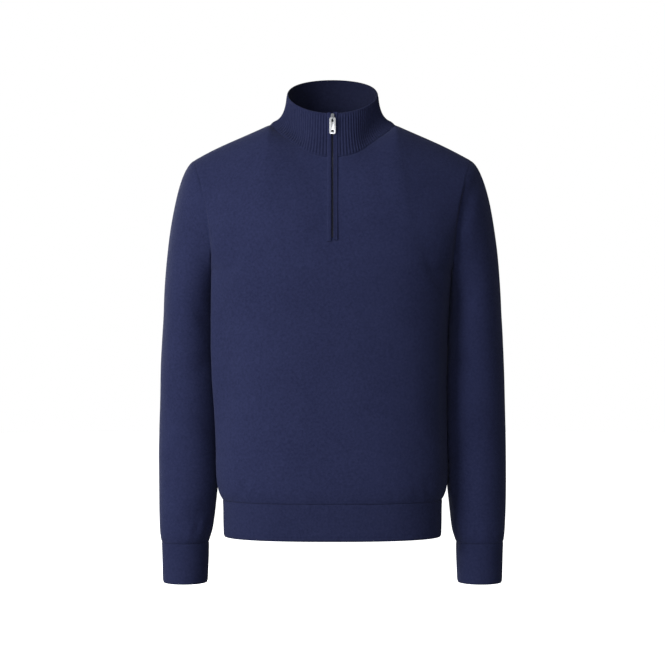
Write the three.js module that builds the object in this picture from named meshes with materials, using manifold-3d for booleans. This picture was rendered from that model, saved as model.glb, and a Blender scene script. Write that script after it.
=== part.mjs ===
// Quarter zip sweater, filled out and empty inside, in millimetres.
// +Z is up, the front faces -Y, and the origin is the middle of the neck base.
import * as THREE from 'three';
import { mergeVertices } from 'three/addons/utils/BufferGeometryUtils.js';
import Module from 'manifold-3d';

const wasm = await Module();
wasm.setup();

// Cloth
const jerseyWall = 2;
const ribWall = 2.2;
const collarWall = 2;
const bandWall = 1.4;
const tapeWall = 0.8;
const seamGap = 0.3;

// Body: a row for each height, with the half width and the depths before and behind the side seams
const sideSeamY = -20;
const frontBoxiness = 2.5;
const backBoxiness = 2.1;
const hemTopZ = -606;
const underarmZ = -232;
const bodyRows = [
  { z: hemTopZ, half: 179.2, front: 92, back: 122 },
  { z: -600, half: 182.8, front: 98, back: 127 },
  { z: -590, half: 186.2, front: 102, back: 131 },
  { z: -568, half: 188.5, front: 103, back: 132 },
  { z: -520, half: 188, front: 101, back: 131 },
  { z: -460, half: 187, front: 99, back: 130 },
  { z: -400, half: 187, front: 99, back: 130 },
  { z: -345, half: 188.5, front: 102, back: 132 },
  { z: -295, half: 190.5, front: 106, back: 135 },
  { z: -255, half: 193.5, front: 109, back: 137 },
  { z: underarmZ, half: 195.5, front: 110, back: 138 },
];
const hemRows = [
  { z: hemTopZ, half: 179.2, front: 92, back: 122 },
  { z: -613, half: 178.8, front: 91, back: 121.5 },
  { z: -640, half: 178.4, front: 90, back: 121 },
  { z: -665.5, half: 177.8, front: 89, back: 120 },
];
const columnsPerHalf = 11;
const neckColumns = 5;

// Armhole: a ring from the shoulder tip round under the arm
const tip = { x: 228, y: 3, z: -50 };
const shoulderRise = 2.6;
const armholeFront = 60;
const armholeBack = 68;
const armholeSteps = 12;
const armholeLean = 2.2;

// Handles of the curves that run up a panel: at the centre and out at the shoulder, front and back
const panelCurve = {
  riseFront: 150, riseBack: 230, riseSide: 290, leanFront: 24, leanBack: 4, leanSide: 84,
  overFront: 150, overBack: 190, overSide: 200,
};

// Neck seam and collar rim, each a closed ring with a front, side and back height;
// pinch is the share that the ring is narrower between its front, sides and back
const neckSeam = { half: 102, front: -79, back: 74, zFront: -53, zSide: 8.5, zBack: 18, pinch: 0.15 };
const collarRim = { half: 74.5, front: -59, back: 72, zFront: 20, zSide: 61, zBack: 94, pinch: 0 };
const collarRibs = 100;
const ribRise = 1.1;
const collarRowsAt = [0, 0.2, 0.42, 0.7, 1];
const collarCurve = {
  flareFront: 0.35, flareBack: 0.1, flareSide: 3.8, handleFront: 24, handleSide: 22,
  rimDrop: 26, rimBulgeSide: 2, rimBulgeFront: 5,
};

// Sleeve below the cap: a row for each height, with the outer and inner reach from the centre line
const capEndZ = -300;
const sleeveRows = [
  { z: capEndZ, outer: 279.8, inner: 189, depth: 65, y: 16 },
  { z: -345, outer: 282.7, inner: 187.4, depth: 61, y: 17 },
  { z: -400, outer: 285, inner: 186.2, depth: 57, y: 17 },
  { z: -460, outer: 286.5, inner: 186.2, depth: 54, y: 16 },
  { z: -520, outer: 287.4, inner: 187, depth: 51, y: 14 },
  { z: -577, outer: 287.4, inner: 188.8, depth: 49, y: 10 },
  { z: -612, outer: 286.8, inner: 191.8, depth: 47.5, y: 8 },
  { z: -640, outer: 285.8, inner: 194.8, depth: 45, y: 6 },
  { z: -662, outer: 284.7, inner: 198.4, depth: 42.5, y: 5 },
  { z: -675, outer: 283.6, inner: 201.6, depth: 40, y: 4 },
  { z: -682, outer: 282, inner: 204, depth: 37.5, y: 4 },
];
const cuffRows = [
  { z: -682, outer: 282, inner: 204, depth: 37.5, y: 4 },
  { z: -690, outer: 281.6, inner: 204, depth: 37.3, y: 4 },
  { z: -745.5, outer: 280, inner: 206, depth: 35, y: 3 },
];
const capSteps = [0, 0.12, 0.26, 0.42, 0.6, 0.8, 1];
const sleeveSeamGap = 0.27;

// Handles of the cap's curves, at the shoulder and under the arm
const capCurve = { slopeTop: 25, slopeLow: 48, reachTop: 31, reachLow: 8, dropTop: 110, dropLow: 34, tuck: 2 };

// Largest folds. Body: x and z of both ends. Sleeve: turn in degrees from outside to the front, and z.
const frontFolds = [
  { x0: -186, z0: -225, x1: -120, z1: -150, width: 20, depth: 4 },
  { x0: 188, z0: -240, x1: 125, z1: -155, width: 20, depth: 4.5 },
  { x0: 178, z0: -575, x1: 120, z1: -520, width: 18, depth: 3 },
  { x0: -170, z0: -580, x1: -105, z1: -535, width: 18, depth: 2.5 },
];
const backFolds = [
  { x0: 186, z0: -230, x1: 110, z1: -150, width: 22, depth: 4.5 },
  { x0: -186, z0: -230, x1: -105, z1: -145, width: 22, depth: 4 },
  { x0: -60, z0: -560, x1: 90, z1: -545, width: 22, depth: 3 },
  { x0: 175, z0: -570, x1: 100, z1: -500, width: 20, depth: 3 },
];
const sleeveFolds = [
  { turn: 84, z: -120, turnEnd: 128, zEnd: -215, width: 22, depth: 6 },
  { turn: 95, z: -400, turnEnd: 165, zEnd: -370, width: 20, depth: 3 },
  { turn: 60, z: -650, turnEnd: 150, zEnd: -622, width: 16, depth: 2.5 },
  { turn: 235, z: -150, turnEnd: 215, zEnd: -240, width: 22, depth: 5 },
  { turn: 215, z: -390, turnEnd: 290, zEnd: -420, width: 22, depth: 3 },
];

// Zip
const slitHalf = 1.6;
const bandEdge = 8.6;
const zipEndRow = 3;
const zipEndLift = 0.058; // how far the slit's end lies over its row, as a share of the armhole's height
const chainInset = 0.3;
const bandShare = 0.8;
const tapeShare = 0.5;
const slider = { width: 5.2, height: 11.2, thick: 2.2, corner: 1.6, overHinge: 2.8, hingeBelowRim: 10.8 };
const sliderStem = { width: 2.4, height: 5 };
const bail = { inner: 1.55, outer: 2.75, width: 2.4 };
const pull = { width: 9.8, length: 27, thick: 1.6, corner: 2.2, bar: 1.7 };
const pullWindow = { width: 3.6, height: 5.6, corner: 0.9 };
const pullSlot = { width: 4.6, height: 3, corner: 0.9, fromEnd: 3.2 };
const pullLean = 4.5;
const fittingOverlap = 0.2;

const navy = 0x2b2f4b;
const jersey = new THREE.MeshStandardMaterial({ color: navy, roughness: 0.95, metalness: 0 });
const rib = new THREE.MeshStandardMaterial({ color: navy, roughness: 0.95, metalness: 0 });
const zipCloth = new THREE.MeshStandardMaterial({ color: 0x1d2036, roughness: 0.85, metalness: 0 });
const metal = new THREE.MeshStandardMaterial({ color: 0xb9bac0, roughness: 0.3, metalness: 1 });

const radians = THREE.MathUtils.degToRad;
const lerp = THREE.MathUtils.lerp;
const vec = (x, y, z) => new THREE.Vector3(x, y, z);
const up = vec(0, 0, 1);
const mix = (a, b, t) => a.clone().lerp(b, t);
const clamp01 = (t) => THREE.MathUtils.clamp(t, 0, 1);

// A cubic curve from p0 to p3 with its two handles
function bezier(p0, p1, p2, p3, t) {
  const s = 1 - t;
  return p0.clone().multiplyScalar(s * s * s)
    .addScaledVector(p1, 3 * s * s * t)
    .addScaledVector(p2, 3 * s * t * t)
    .addScaledVector(p3, t * t * t);
}

// Point on a level section: turn 0 is the centre front, 90 the right side seam, 180 the centre back
function sectionPoint(row, turn) {
  const s = Math.sin(radians(turn));
  const c = Math.cos(radians(turn));
  const depth = c > 0 ? row.front : row.back;
  const power = 2 / (c > 0 ? frontBoxiness : backBoxiness);
  const x = row.half * Math.sign(s) * Math.abs(s) ** power;
  const y = sideSeamY - depth * Math.sign(c) * Math.abs(c) ** power;
  return vec(x, y, row.z);
}

// A ring whose height runs smoothly through a front, side and back value
function ringPoint(ring, turn) {
  const c = Math.cos(radians(turn));
  const a = (ring.zFront + ring.zBack + 2 * ring.zSide) / 4;
  const b = (ring.zFront - ring.zBack) / 2;
  const d = (ring.zFront + ring.zBack - 2 * ring.zSide) / 4;
  const middle = (ring.front + ring.back) / 2;
  const z = a + b * c + d * Math.cos(radians(2 * turn));
  const narrowed = 1 - ring.pinch * Math.sin(radians(2 * turn)) ** 2;
  return vec(ring.half * narrowed * Math.sin(radians(turn)), middle + (ring.front - middle) * c, z);
}

// Point of the right armhole: turn 0 at the shoulder tip, 90 in front, 180 under the arm
function armholePoint(turn) {
  const s = Math.sin(radians(turn));
  const high = (1 + Math.cos(radians(turn))) / 2;
  const x = lerp(bodyRows.at(-1).half, tip.x, high ** armholeLean);
  const y = lerp(sideSeamY, tip.y, high) - s * (s > 0 ? armholeFront : armholeBack);
  return vec(x, y, lerp(underarmZ, tip.z, high));
}

// Top edge of a body panel at column share u: neck seam in the middle, shoulder seam outside it
function topEdge(u, back) {
  const neckShare = neckColumns / columnsPerHalf;
  const side = Math.sign(u);
  const share = Math.abs(u);
  if (share <= neckShare) {
    const turn = 90 * share / neckShare;
    const p = ringPoint(neckSeam, back ? 180 - turn : turn);
    p.x *= side || 1;
    return p;
  }
  const neckPoint = ringPoint(neckSeam, 90);
  const along = (share - neckShare) / (1 - neckShare);
  const p = mix(neckPoint, vec(tip.x, tip.y, tip.z), along);
  p.z += shoulderRise * Math.sin(Math.PI * along ** 1.5);
  p.x *= side;
  return p;
}

// Upper part of a panel, from the underarm level to the top edge, cut out round the armhole
function upperPoint(u, s, back) {
  const neckShare = neckColumns / columnsPerHalf;
  const outward = back ? -1 : 1;
  const ease = lerp(s, (1 - Math.cos(Math.PI * s)) / 2, 0.5);
  const centred = clamp01(Math.abs(u) / neckShare);
  const rise = lerp(back ? panelCurve.riseBack : panelCurve.riseFront, panelCurve.riseSide, centred);
  const lean = radians(lerp(back ? panelCurve.leanBack : panelCurve.leanFront, panelCurve.leanSide, centred ** 1.5));
  const over = lerp(back ? panelCurve.overBack : panelCurve.overFront, panelCurve.overSide, centred);
  const edgeRise = vec(0, 0, rise);
  const edgeOver = vec(0, outward * Math.sin(lean), Math.cos(lean)).multiplyScalar(over);
  const along = (share) => {
    const p0 = sectionPoint(bodyRows.at(-1), back ? 180 - 90 * share : 90 * share);
    const p3 = topEdge(share, back);
    const p1 = p0.clone().addScaledVector(edgeRise, 1 / 3);
    const p2 = p3.clone().addScaledVector(edgeOver, -1 / 3);
    return bezier(p0, p1, p2, p3, ease);
  };
  const p = along(u);
  const near = clamp01((Math.abs(u) - 0.2) / 0.8) ** 2;
  if (near > 0) {
    const side = Math.sign(u);
    const edge = armholePoint(back ? 180 + 180 * s : 180 - 180 * s);
    edge.x *= side;
    p.addScaledVector(edge.sub(along(side)), near);
  }
  return p;
}

// How far a fold sinks at a place, from its two ends, with soft ends
function foldDepth(fold, a, b, a0, b0, a1, b1) {
  const la = a1 - a0;
  const lb = b1 - b0;
  const t = clamp01(((a - a0) * la + (b - b0) * lb) / (la * la + lb * lb));
  const off = Math.hypot(a - a0 - la * t, b - b0 - lb * t) / fold.width;
  const fade = Math.sin(Math.PI * lerp(0.12, 0.88, t));
  return fold.depth * fade * Math.exp(-off * off);
}

// Column shares of the front: even steps, with the band edges and the slit edges added
function frontColumns() {
  const shares = [];
  for (let k = -columnsPerHalf; k <= columnsPerHalf; k += 1) {
    if (k === 0) shares.push('-band', '-slit', '+slit', '+band');
    else shares.push(k / columnsPerHalf);
  }
  return shares;
}

function frontGrid() {
  const columns = frontColumns();
  const nearCentre = 0.03;
  const fixedX = { '-band': -bandEdge, '-slit': -slitHalf, '+slit': slitHalf, '+band': bandEdge };
  const place = (column, pointAt) => {
    if (typeof column === 'number') return pointAt(column);
    const p = pointAt(column.startsWith('-') ? -nearCentre : nearCentre);
    p.x = fixedX[column];
    return p;
  };
  const rows = bodyRows.map((row) => columns.map((c) => place(c, (u) => sectionPoint(row, 90 * u))));
  for (let k = 1; k <= armholeSteps; k += 1) {
    const lift = k === zipEndRow ? zipEndLift : 0;
    rows.push(columns.map((c) => place(c, (u) => (
      upperPoint(u, k / armholeSteps + lift * (1 - Math.abs(u)) ** 2, false)))));
  }
  return rows;
}

function backGrid() {
  const shares = [];
  for (let k = columnsPerHalf; k >= -columnsPerHalf; k -= 1) shares.push(k / columnsPerHalf);
  const rows = bodyRows.map((row) => shares.map((u) => sectionPoint(row, 180 - 90 * u)));
  for (let k = 1; k <= armholeSteps; k += 1) {
    rows.push(shares.map((u) => upperPoint(u, k / armholeSteps, true)));
  }
  return rows;
}

// Point of a sleeve ring: turn 0 outside, 90 in front, 180 against the body
function sleeveRingPoint(row, turn) {
  const middle = (row.outer + row.inner) / 2;
  const half = (row.outer - row.inner) / 2;
  return vec(middle + half * Math.cos(radians(turn)), row.y - row.depth * Math.sin(radians(turn)), row.z);
}

// Cap of the sleeve: each point leaves the armhole outwards and turns down into the tube
function capPoint(turn, t) {
  const p0 = armholePoint(turn);
  const p3 = sleeveRingPoint(sleeveRows[0], turn);
  const low = (1 - Math.cos(radians(turn))) / 2;
  const slope = radians(lerp(capCurve.slopeTop, capCurve.slopeLow, low));
  const reach = lerp(capCurve.reachTop, capCurve.reachLow, low);
  const drop = lerp(capCurve.dropTop, capCurve.dropLow, low);
  const p1 = p0.clone().add(vec(Math.cos(slope), 0, -Math.sin(slope)).multiplyScalar(reach));
  const p2 = p3.clone().addScaledVector(up, drop);
  p2.x -= capCurve.tuck * (1 - 2 * low);
  return bezier(p0, p1, p2, p3, t);
}

// Right sleeve, rows going down and columns from outside to the front
function sleeveGrid() {
  const turns = [];
  for (let k = 0; k < 2 * armholeSteps; k += 1) turns.push(180 * k / armholeSteps);
  const rows = capSteps.map((t) => turns.map((turn) => capPoint(turn, t)));
  sleeveRows.slice(1).forEach((row) => rows.push(turns.map((turn) => sleeveRingPoint(row, turn))));
  return rows;
}

function cuffGrid() {
  const turns = [];
  for (let k = 0; k < 2 * armholeSteps; k += 1) turns.push(180 * k / armholeSteps);
  return cuffRows.map((row) => turns.map((turn) => sleeveRingPoint(row, turn)));
}

// Hem, rows going up, with the columns of the front and then of the back
function hemGrid(front, back) {
  const ends = [...front[0], ...back[0].slice(1, -1)];
  const turns = ends.map((p) => sectionTurn(p));
  return hemRows.map((row, r) => turns.map((turn, c) => {
    if (r === 0) return ends[c].clone();
    const p = sectionPoint(row, turn);
    if (Math.abs(ends[c].x) < bandEdge + 1 && ends[c].y < 0) p.x = ends[c].x;
    return p;
  })).reverse();
}

// Turn of a point of the lowest body section, from its place
function sectionTurn(p) {
  const row = bodyRows[0];
  const front = p.y < sideSeamY;
  const power = (front ? frontBoxiness : backBoxiness) / 2;
  const s = clamp01(Math.abs(p.x) / row.half) ** power;
  const turn = THREE.MathUtils.radToDeg(Math.asin(clamp01(s)));
  return Math.sign(p.x) * (front ? turn : 180 - turn);
}

// Collar surface between the neck seam and the rim, concave where it runs out onto the shoulder
function collarPoint(turn, t, base = ringPoint(neckSeam, turn)) {
  const c = Math.cos(radians(turn));
  const inwards = vec(-Math.sin(radians(turn)), c, 0);
  const sideways = (1 - c * c) ** 2;
  const flare = lerp(c > 0 ? collarCurve.flareFront : collarCurve.flareBack, collarCurve.flareSide, sideways);
  const handle = lerp(collarCurve.handleFront, collarCurve.handleSide, sideways);
  const rimPoint = ringPoint(collarRim, turn);
  const p1 = base.clone().addScaledVector(inwards.clone().multiplyScalar(flare).add(up).normalize(), handle);
  const bulge = lerp(collarCurve.rimBulgeSide, collarCurve.rimBulgeFront, c * c);
  const p2 = rimPoint.clone().addScaledVector(up, -collarCurve.rimDrop).addScaledVector(inwards, -bulge);
  return bezier(base, p1, p2, rimPoint, t);
}

// Unit normals of a grid, outwards where columns cross rows to the left
function gridNormals(grid, closed) {
  const last = grid.length - 1;
  const width = grid[0].length;
  return grid.map((row, r) => row.map((p, c) => {
    const before = closed ? (c + width - 1) % width : Math.max(c - 1, 0);
    const after = closed ? (c + 1) % width : Math.min(c + 1, width - 1);
    const across = row[after].clone().sub(row[before]);
    const along = grid[Math.min(r + 1, last)][c].clone().sub(grid[Math.max(r - 1, 0)][c]);
    return across.cross(along).normalize();
  }));
}

// Normals that pieces share along their seams, so that their walls meet edge to edge
class SeamNormals {
  constructor() {
    this.sums = new Map();
  }

  key(p) {
    const offGrid = 0.137;
    return [p.x, p.y, p.z].map((value) => Math.round(value * 50 + offGrid)).join(' ');
  }

  add(grid, normals) {
    grid.forEach((row, r) => row.forEach((p, c) => {
      const sum = this.sums.get(this.key(p)) ?? vec(0, 0, 0);
      this.sums.set(this.key(p), sum.add(normals[r][c]));
    }));
  }

  apply(grid) {
    return grid.map((row) => row.map((p) => this.sums.get(this.key(p)).clone().normalize()));
  }
}

// Places of a grid's edge, in the order that keeps the cloth on the left
function edgeLoop(grid, edge) {
  const last = grid.length - 1;
  const end = grid[0].length - 1;
  const columns = grid[0].map((p, c) => c);
  const first = columns.map((c) => [0, c]);
  const top = columns.map((c) => [last, end - c]);
  if (edge === 'first') return first;
  if (edge === 'last') return top;
  const right = grid.slice(1, -1).map((row, k) => [k + 1, end]);
  const left = grid.slice(1, -1).map((row, k) => [last - 1 - k, 0]);
  return [...first, ...right, ...top, ...left];
}

const sharpestMitre = 0.4;

// Edge points move a little into their own piece, along its surface and square to the edge
function pullEdges(grid, normals, edge, { closed = true, distance = seamGap / 2 } = {}) {
  const loop = edgeLoop(grid, edge);
  const count = loop.length;
  const at = (k) => grid[loop[k][0]][loop[k][1]];
  const moves = loop.map(([r, c], k) => {
    const inward = (from, to) => {
      const way = normals[r][c].clone().cross(at(to).clone().sub(at(from)));
      return way.normalize();
    };
    const ways = [];
    if (closed || k > 0) ways.push(inward((k + count - 1) % count, k));
    if (closed || k < count - 1) ways.push(inward(k, (k + 1) % count));
    const sum = ways.reduce((total, way) => total.add(way), vec(0, 0, 0));
    return sum.multiplyScalar(distance * ways.length / Math.max(sum.lengthSq(), sharpestMitre));
  });
  moves.forEach((move, k) => at(k).add(move));
}

const offsetGrid = (grid, normals, distance) => grid.map((row, r) => row.map((p, c) => (
  p.clone().addScaledVector(normals[r][c], typeof distance === 'number' ? distance : distance(r, c)))));

// Two walls that meet at a seam split their edge faces alike, by the order of the corners in space
const rimOrder = (p) => 0.7 * Math.abs(p.x) + 0.9 * p.y + 1.1 * p.z;

// A closed wall between an outer and an inner grid; keep says which cells are cloth,
// and turned which of them are split along their other diagonal
function wallGeometry(outer, inner, { closed = false, keep = () => true, turned = () => false } = {}) {
  const width = outer[0].length;
  const rows = outer.length;
  const cells = closed ? width : width - 1;
  const kept = (r, c) => {
    const column = closed ? (c + width) % width : c;
    return r >= 0 && r < rows - 1 && column >= 0 && column < cells && keep(r, column);
  };
  const positions = [];
  const triangle = (a, b, c) => [a, b, c].forEach((p) => positions.push(p.x, p.y, p.z));
  for (let r = 0; r < rows - 1; r += 1) {
    for (let c = 0; c < cells; c += 1) {
      if (kept(r, c)) {
        const next = (c + 1) % width;
        const corners = [[r, c], [r, next], [r + 1, next], [r + 1, c]];
        const neighbours = [kept(r - 1, c), kept(r, c + 1), kept(r + 1, c), kept(r, c - 1)];
        const [a, b, d, e] = corners.map(([i, j]) => outer[i][j]);
        const [a2, b2, d2, e2] = corners.map(([i, j]) => inner[i][j]);
        if (turned(r, c)) {
          triangle(a, b, e);
          triangle(b, d, e);
          triangle(a2, e2, b2);
          triangle(b2, e2, d2);
        } else {
          triangle(a, b, d);
          triangle(a, d, e);
          triangle(a2, d2, b2);
          triangle(a2, e2, d2);
        }
        neighbours.forEach((neighbour, k) => {
          if (neighbour) return;
          const [i, j] = corners[k];
          const [m, n] = corners[(k + 1) % 4];
          if (rimOrder(outer[i][j]) < rimOrder(outer[m][n])) {
            triangle(outer[m][n], outer[i][j], inner[i][j]);
            triangle(outer[m][n], inner[i][j], inner[m][n]);
          } else {
            triangle(outer[m][n], outer[i][j], inner[m][n]);
            triangle(outer[i][j], inner[i][j], inner[m][n]);
          }
        });
      }
    }
  }
  const geometry = new THREE.BufferGeometry();
  geometry.setAttribute('position', new THREE.Float32BufferAttribute(positions, 3));
  return mergeVertices(geometry, 1e-4);
}

// The same piece on the other side of the centre line
function mirrored(geometry) {
  const copy = geometry.clone();
  copy.scale(-1, 1, 1);
  const index = copy.index.array;
  for (let k = 0; k < index.length; k += 3) {
    [index[k], index[k + 1]] = [index[k + 1], index[k]];
  }
  return copy;
}

const sweater = new THREE.Group();

function addNode(name, geometry, material, parent = sweater) {
  geometry.computeVertexNormals();
  const mesh = new THREE.Mesh(geometry, material);
  mesh.name = name;
  parent.add(mesh);
  return mesh;
}

// All surfaces of the body and sleeves, before the seams are opened
const front = frontGrid();
const back = backGrid();
const sleeve = sleeveGrid();
const cuff = cuffGrid();
const hem = hemGrid(front, back);
const flipX = (grid) => grid.map((row) => row.map((p) => vec(-p.x, p.y, p.z)));
const flipNormals = (normals) => normals.map((row) => row.map((n) => vec(-n.x, n.y, n.z)));

const seams = new SeamNormals();
const frontNormals = gridNormals(front, false);
const backNormals = gridNormals(back, false);
const sleeveNormals = gridNormals(sleeve, true);
const cuffNormals = gridNormals(cuff, true);
seams.add(front, frontNormals);
seams.add(back, backNormals);
seams.add(sleeve, sleeveNormals);
seams.add(flipX(sleeve), flipNormals(sleeveNormals));
seams.add(cuff, cuffNormals);
seams.add(hem, gridNormals(hem, true));

// The neck seam's corners, anticlockwise from the right edge of the slit to its left edge
const middleColumn = (front[0].length - 1) / 2;
const neckFromSlit = neckColumns + 1;
const frontTop = front.at(-1);
const backTop = back.at(-1);
const backMiddle = (backTop.length - 1) / 2;
const slitRight = middleColumn + 0.5;
const slitLeft = middleColumn - 0.5;
const neckCorners = [
  ...frontTop.slice(slitRight, slitRight + neckFromSlit + 1),
  ...backTop.slice(backMiddle - neckColumns + 1, backMiddle + neckColumns),
  ...frontTop.slice(slitLeft - neckFromSlit, slitLeft + 1),
].map((p) => p.clone());
const neckTurn = (p) => (360 + THREE.MathUtils.radToDeg(Math.atan2(
  p.x / neckSeam.half,
  ((neckSeam.front + neckSeam.back) / 2 - p.y) / ((neckSeam.back - neckSeam.front) / 2),
))) % 360;
const neckTurns = neckCorners.map(neckTurn);
const firstRise = 0.08; // share of the collar's height that gives its way off the seam
neckCorners.forEach((p, k) => {
  const turn = neckTurns[k];
  const across = collarPoint(turn + 1, 0).sub(collarPoint(turn - 1, 0));
  const rise = collarPoint(turn, firstRise).sub(collarPoint(turn, 0));
  seams.add([[p]], [[across.cross(rise).normalize()]]);
});

const sink = (grid, normals, folds, place) => grid.forEach((row, r) => row.forEach((p, c) => {
  const edge = r === 0 || r === grid.length - 1;
  const depth = edge ? 0 : folds.reduce((sum, fold) => sum + place(fold, p, r, c), 0);
  p.addScaledVector(normals[r][c], -depth);
}));
const bodyFold = (sideFade) => (fold, p, r, c) => (
  foldDepth(fold, p.x, p.z, fold.x0, fold.z0, fold.x1, fold.z1) * sideFade(c));
const panelSide = (grid) => (c) => (c === 0 || c === grid[0].length - 1 ? 0 : 1);
const sleeveFold = (fold, p, r, c) => {
  const turn = 180 * c / armholeSteps;
  const millimetresPerDegree = 0.9;
  return foldDepth(
    fold, turn * millimetresPerDegree, p.z, fold.turn * millimetresPerDegree, fold.z,
    fold.turnEnd * millimetresPerDegree, fold.zEnd,
  );
};

// Body panels
function addPanel(name, grid, folds, keep) {
  const normals = seams.apply(grid);
  sink(grid, normals, folds, bodyFold(panelSide(grid)));
  pullEdges(grid, normals, 'all');
  const inner = offsetGrid(grid, normals, -jerseyWall);
  const turned = (r, c) => c < (grid[0].length - 1) / 2;
  addNode(name, wallGeometry(grid, inner, { keep, turned }), jersey);
  return normals;
}

const zipEnd = bodyRows.length - 1 + zipEndRow;
const inSlit = (r, c) => r >= zipEnd && c === middleColumn - 0.5;
const neckLine = seams.apply([neckCorners])[0];
const frontShared = addPanel('front', front, frontFolds, (r, c) => !inSlit(r, c));
addPanel('back', back, backFolds);

// Sleeves
const sleeveShared = seams.apply(sleeve);
sink(sleeve, sleeveShared, sleeveFolds, sleeveFold);
pullEdges(sleeve, sleeveShared, 'first', { distance: sleeveSeamGap });
pullEdges(sleeve, sleeveShared, 'last');
const sleeveGeometry = wallGeometry(sleeve, offsetGrid(sleeve, sleeveShared, -jerseyWall), { closed: true });
addNode('sleeve_right', sleeveGeometry, jersey);
addNode('sleeve_left', mirrored(sleeveGeometry), jersey);

// Cuffs and hem
const cuffShared = seams.apply(cuff);
pullEdges(cuff, cuffShared, 'first');
const cuffGeometry = wallGeometry(cuff, offsetGrid(cuff, cuffShared, -ribWall), { closed: true });
addNode('cuff_right', cuffGeometry, rib);
addNode('cuff_left', mirrored(cuffGeometry), rib);
const hemShared = seams.apply(hem);
pullEdges(hem, hemShared, 'last');
addNode('hem_rib', wallGeometry(hem, offsetGrid(hem, hemShared, -ribWall), { closed: true }), rib);

// Collar: even ribs between the two band edges, over a smooth wall
function neckSeamAt(turn) {
  let k = 1;
  while (k < neckTurns.length - 1 && neckTurns[k] < turn) k += 1;
  const t = clamp01((turn - neckTurns[k - 1]) / (neckTurns[k] - neckTurns[k - 1]));
  return { point: mix(neckCorners[k - 1], neckCorners[k], t), normal: mix(neckLine[k - 1], neckLine[k], t).normalize() };
}

function collarTurns() {
  const startTurn = THREE.MathUtils.radToDeg(Math.asin(bandEdge / collarRim.half));
  const samples = [];
  const steps = 720;
  let length = 0;
  let before = null;
  for (let k = 0; k <= steps; k += 1) {
    const turn = lerp(startTurn, 360 - startTurn, k / steps);
    const p = collarPoint(turn, collarRowsAt.at(-2));
    if (before) length += p.distanceTo(before);
    samples.push({ turn, length });
    before = p;
  }
  const turns = [];
  const halfRibs = 2 * collarRibs;
  for (let k = 0, at = 0; k <= halfRibs; k += 1) {
    const target = length * k / halfRibs;
    while (at < steps - 1 && samples[at + 1].length < target) at += 1;
    const share = (target - samples[at].length) / (samples[at + 1].length - samples[at].length);
    turns.push(lerp(samples[at].turn, samples[at + 1].turn, clamp01(share)));
  }
  return turns;
}

function collarGrid() {
  const turns = collarTurns();
  const rows = collarRowsAt.map((t) => turns.map((turn) => collarPoint(turn, t)));
  const baseNormals = turns.map((turn) => neckSeamAt(turn).normal);
  rows[0] = turns.map((turn) => neckSeamAt(turn).point);
  const small = 1;
  rows.forEach((row, r) => {
    const t = collarRowsAt[r];
    const right = collarPoint(small, t);
    right.x = slitHalf;
    const left = collarPoint(360 - small, t);
    left.x = -slitHalf;
    if (r === 0) {
      right.copy(neckCorners[0]);
      left.copy(neckCorners.at(-1));
      row[0].copy(neckCorners[1]);
      row[row.length - 1].copy(neckCorners.at(-2));
    } else {
      row[0].x = bandEdge;
      row[row.length - 1].x = -bandEdge;
    }
    row.unshift(right);
    row.push(left);
  });
  baseNormals[0] = neckLine[1].clone();
  baseNormals[baseNormals.length - 1] = neckLine.at(-2).clone();
  baseNormals.unshift(neckLine[0].clone());
  baseNormals.push(neckLine.at(-1).clone());
  return { rows, baseNormals };
}

const { rows: collar, baseNormals } = collarGrid();
const collarNormals = gridNormals(collar, false);
collarNormals[0] = baseNormals;
pullEdges(collar, collarNormals, 'first', { closed: false, distance: seamGap });
const onRib = (c) => c >= 2 && c <= collar[0].length - 3 && c % 2 === 0;
const collarOuter = offsetGrid(collar, collarNormals, (r, c) => (onRib(c) ? ribRise : 0));
const collarInner = offsetGrid(collar, collarNormals, -collarWall);
addNode('collar', wallGeometry(collarOuter, collarInner), rib);

// Zip: everything on it is made from the panel's and the collar's own points, moved out or in
function zipRows(side) {
  const slit = side > 0 ? slitRight : slitLeft;
  const band = side > 0 ? slitRight + 1 : slitLeft - 1;
  const collarSlit = side > 0 ? 0 : collar[0].length - 1;
  const collarBand = side > 0 ? 1 : collar[0].length - 2;
  const rows = [];
  for (let r = zipEnd - 1; r < front.length; r += 1) {
    rows.push({ slit: front[r][slit], band: front[r][band], normal: frontShared[r][slit] });
  }
  for (let r = 1; r < collar.length; r += 1) {
    rows.push({ slit: collar[r][collarSlit], band: collar[r][collarBand], normal: collarNormals[r][collarSlit] });
  }
  return rows;
}

// The zip's lowest row lies a share of the way up from the row below the slit's end
function fromShare(rows, share) {
  const [low, high] = rows;
  const start = {
    slit: mix(low.slit, high.slit, share),
    band: mix(low.band, high.band, share),
    normal: mix(low.normal, high.normal, share).normalize(),
  };
  return [start, ...rows.slice(1)];
}

const rightRows = zipRows(1);
const leftRows = zipRows(-1);

function addBand(name, rows, order) {
  const grid = fromShare(rows, bandShare).map((row) => order(row).map((p) => p.clone()));
  const normals = fromShare(rows, bandShare).map((row) => [row.normal, row.normal]);
  const inner = offsetGrid(grid, normals, seamGap);
  const outer = offsetGrid(grid, normals, seamGap + bandWall);
  addNode(name, wallGeometry(outer, inner), rib);
}

addBand('zip_band_right', rightRows, (row) => [row.slit, row.band]);
addBand('zip_band_left', leftRows, (row) => [row.band, row.slit]);

const tapeRight = fromShare(rightRows, tapeShare);
const tapeLeft = fromShare(leftRows, tapeShare);
const tapeGrid = tapeRight.map((row, k) => [tapeLeft[k].band, tapeLeft[k].slit, row.slit, row.band]);
const tapeNormals = tapeRight.map((row) => [row.normal, row.normal, row.normal, row.normal]);
const tapeTop = -jerseyWall - seamGap;
addNode('zip_tape', wallGeometry(
  offsetGrid(tapeGrid, tapeNormals, tapeTop),
  offsetGrid(tapeGrid, tapeNormals, tapeTop - tapeWall),
), zipCloth);

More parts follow.
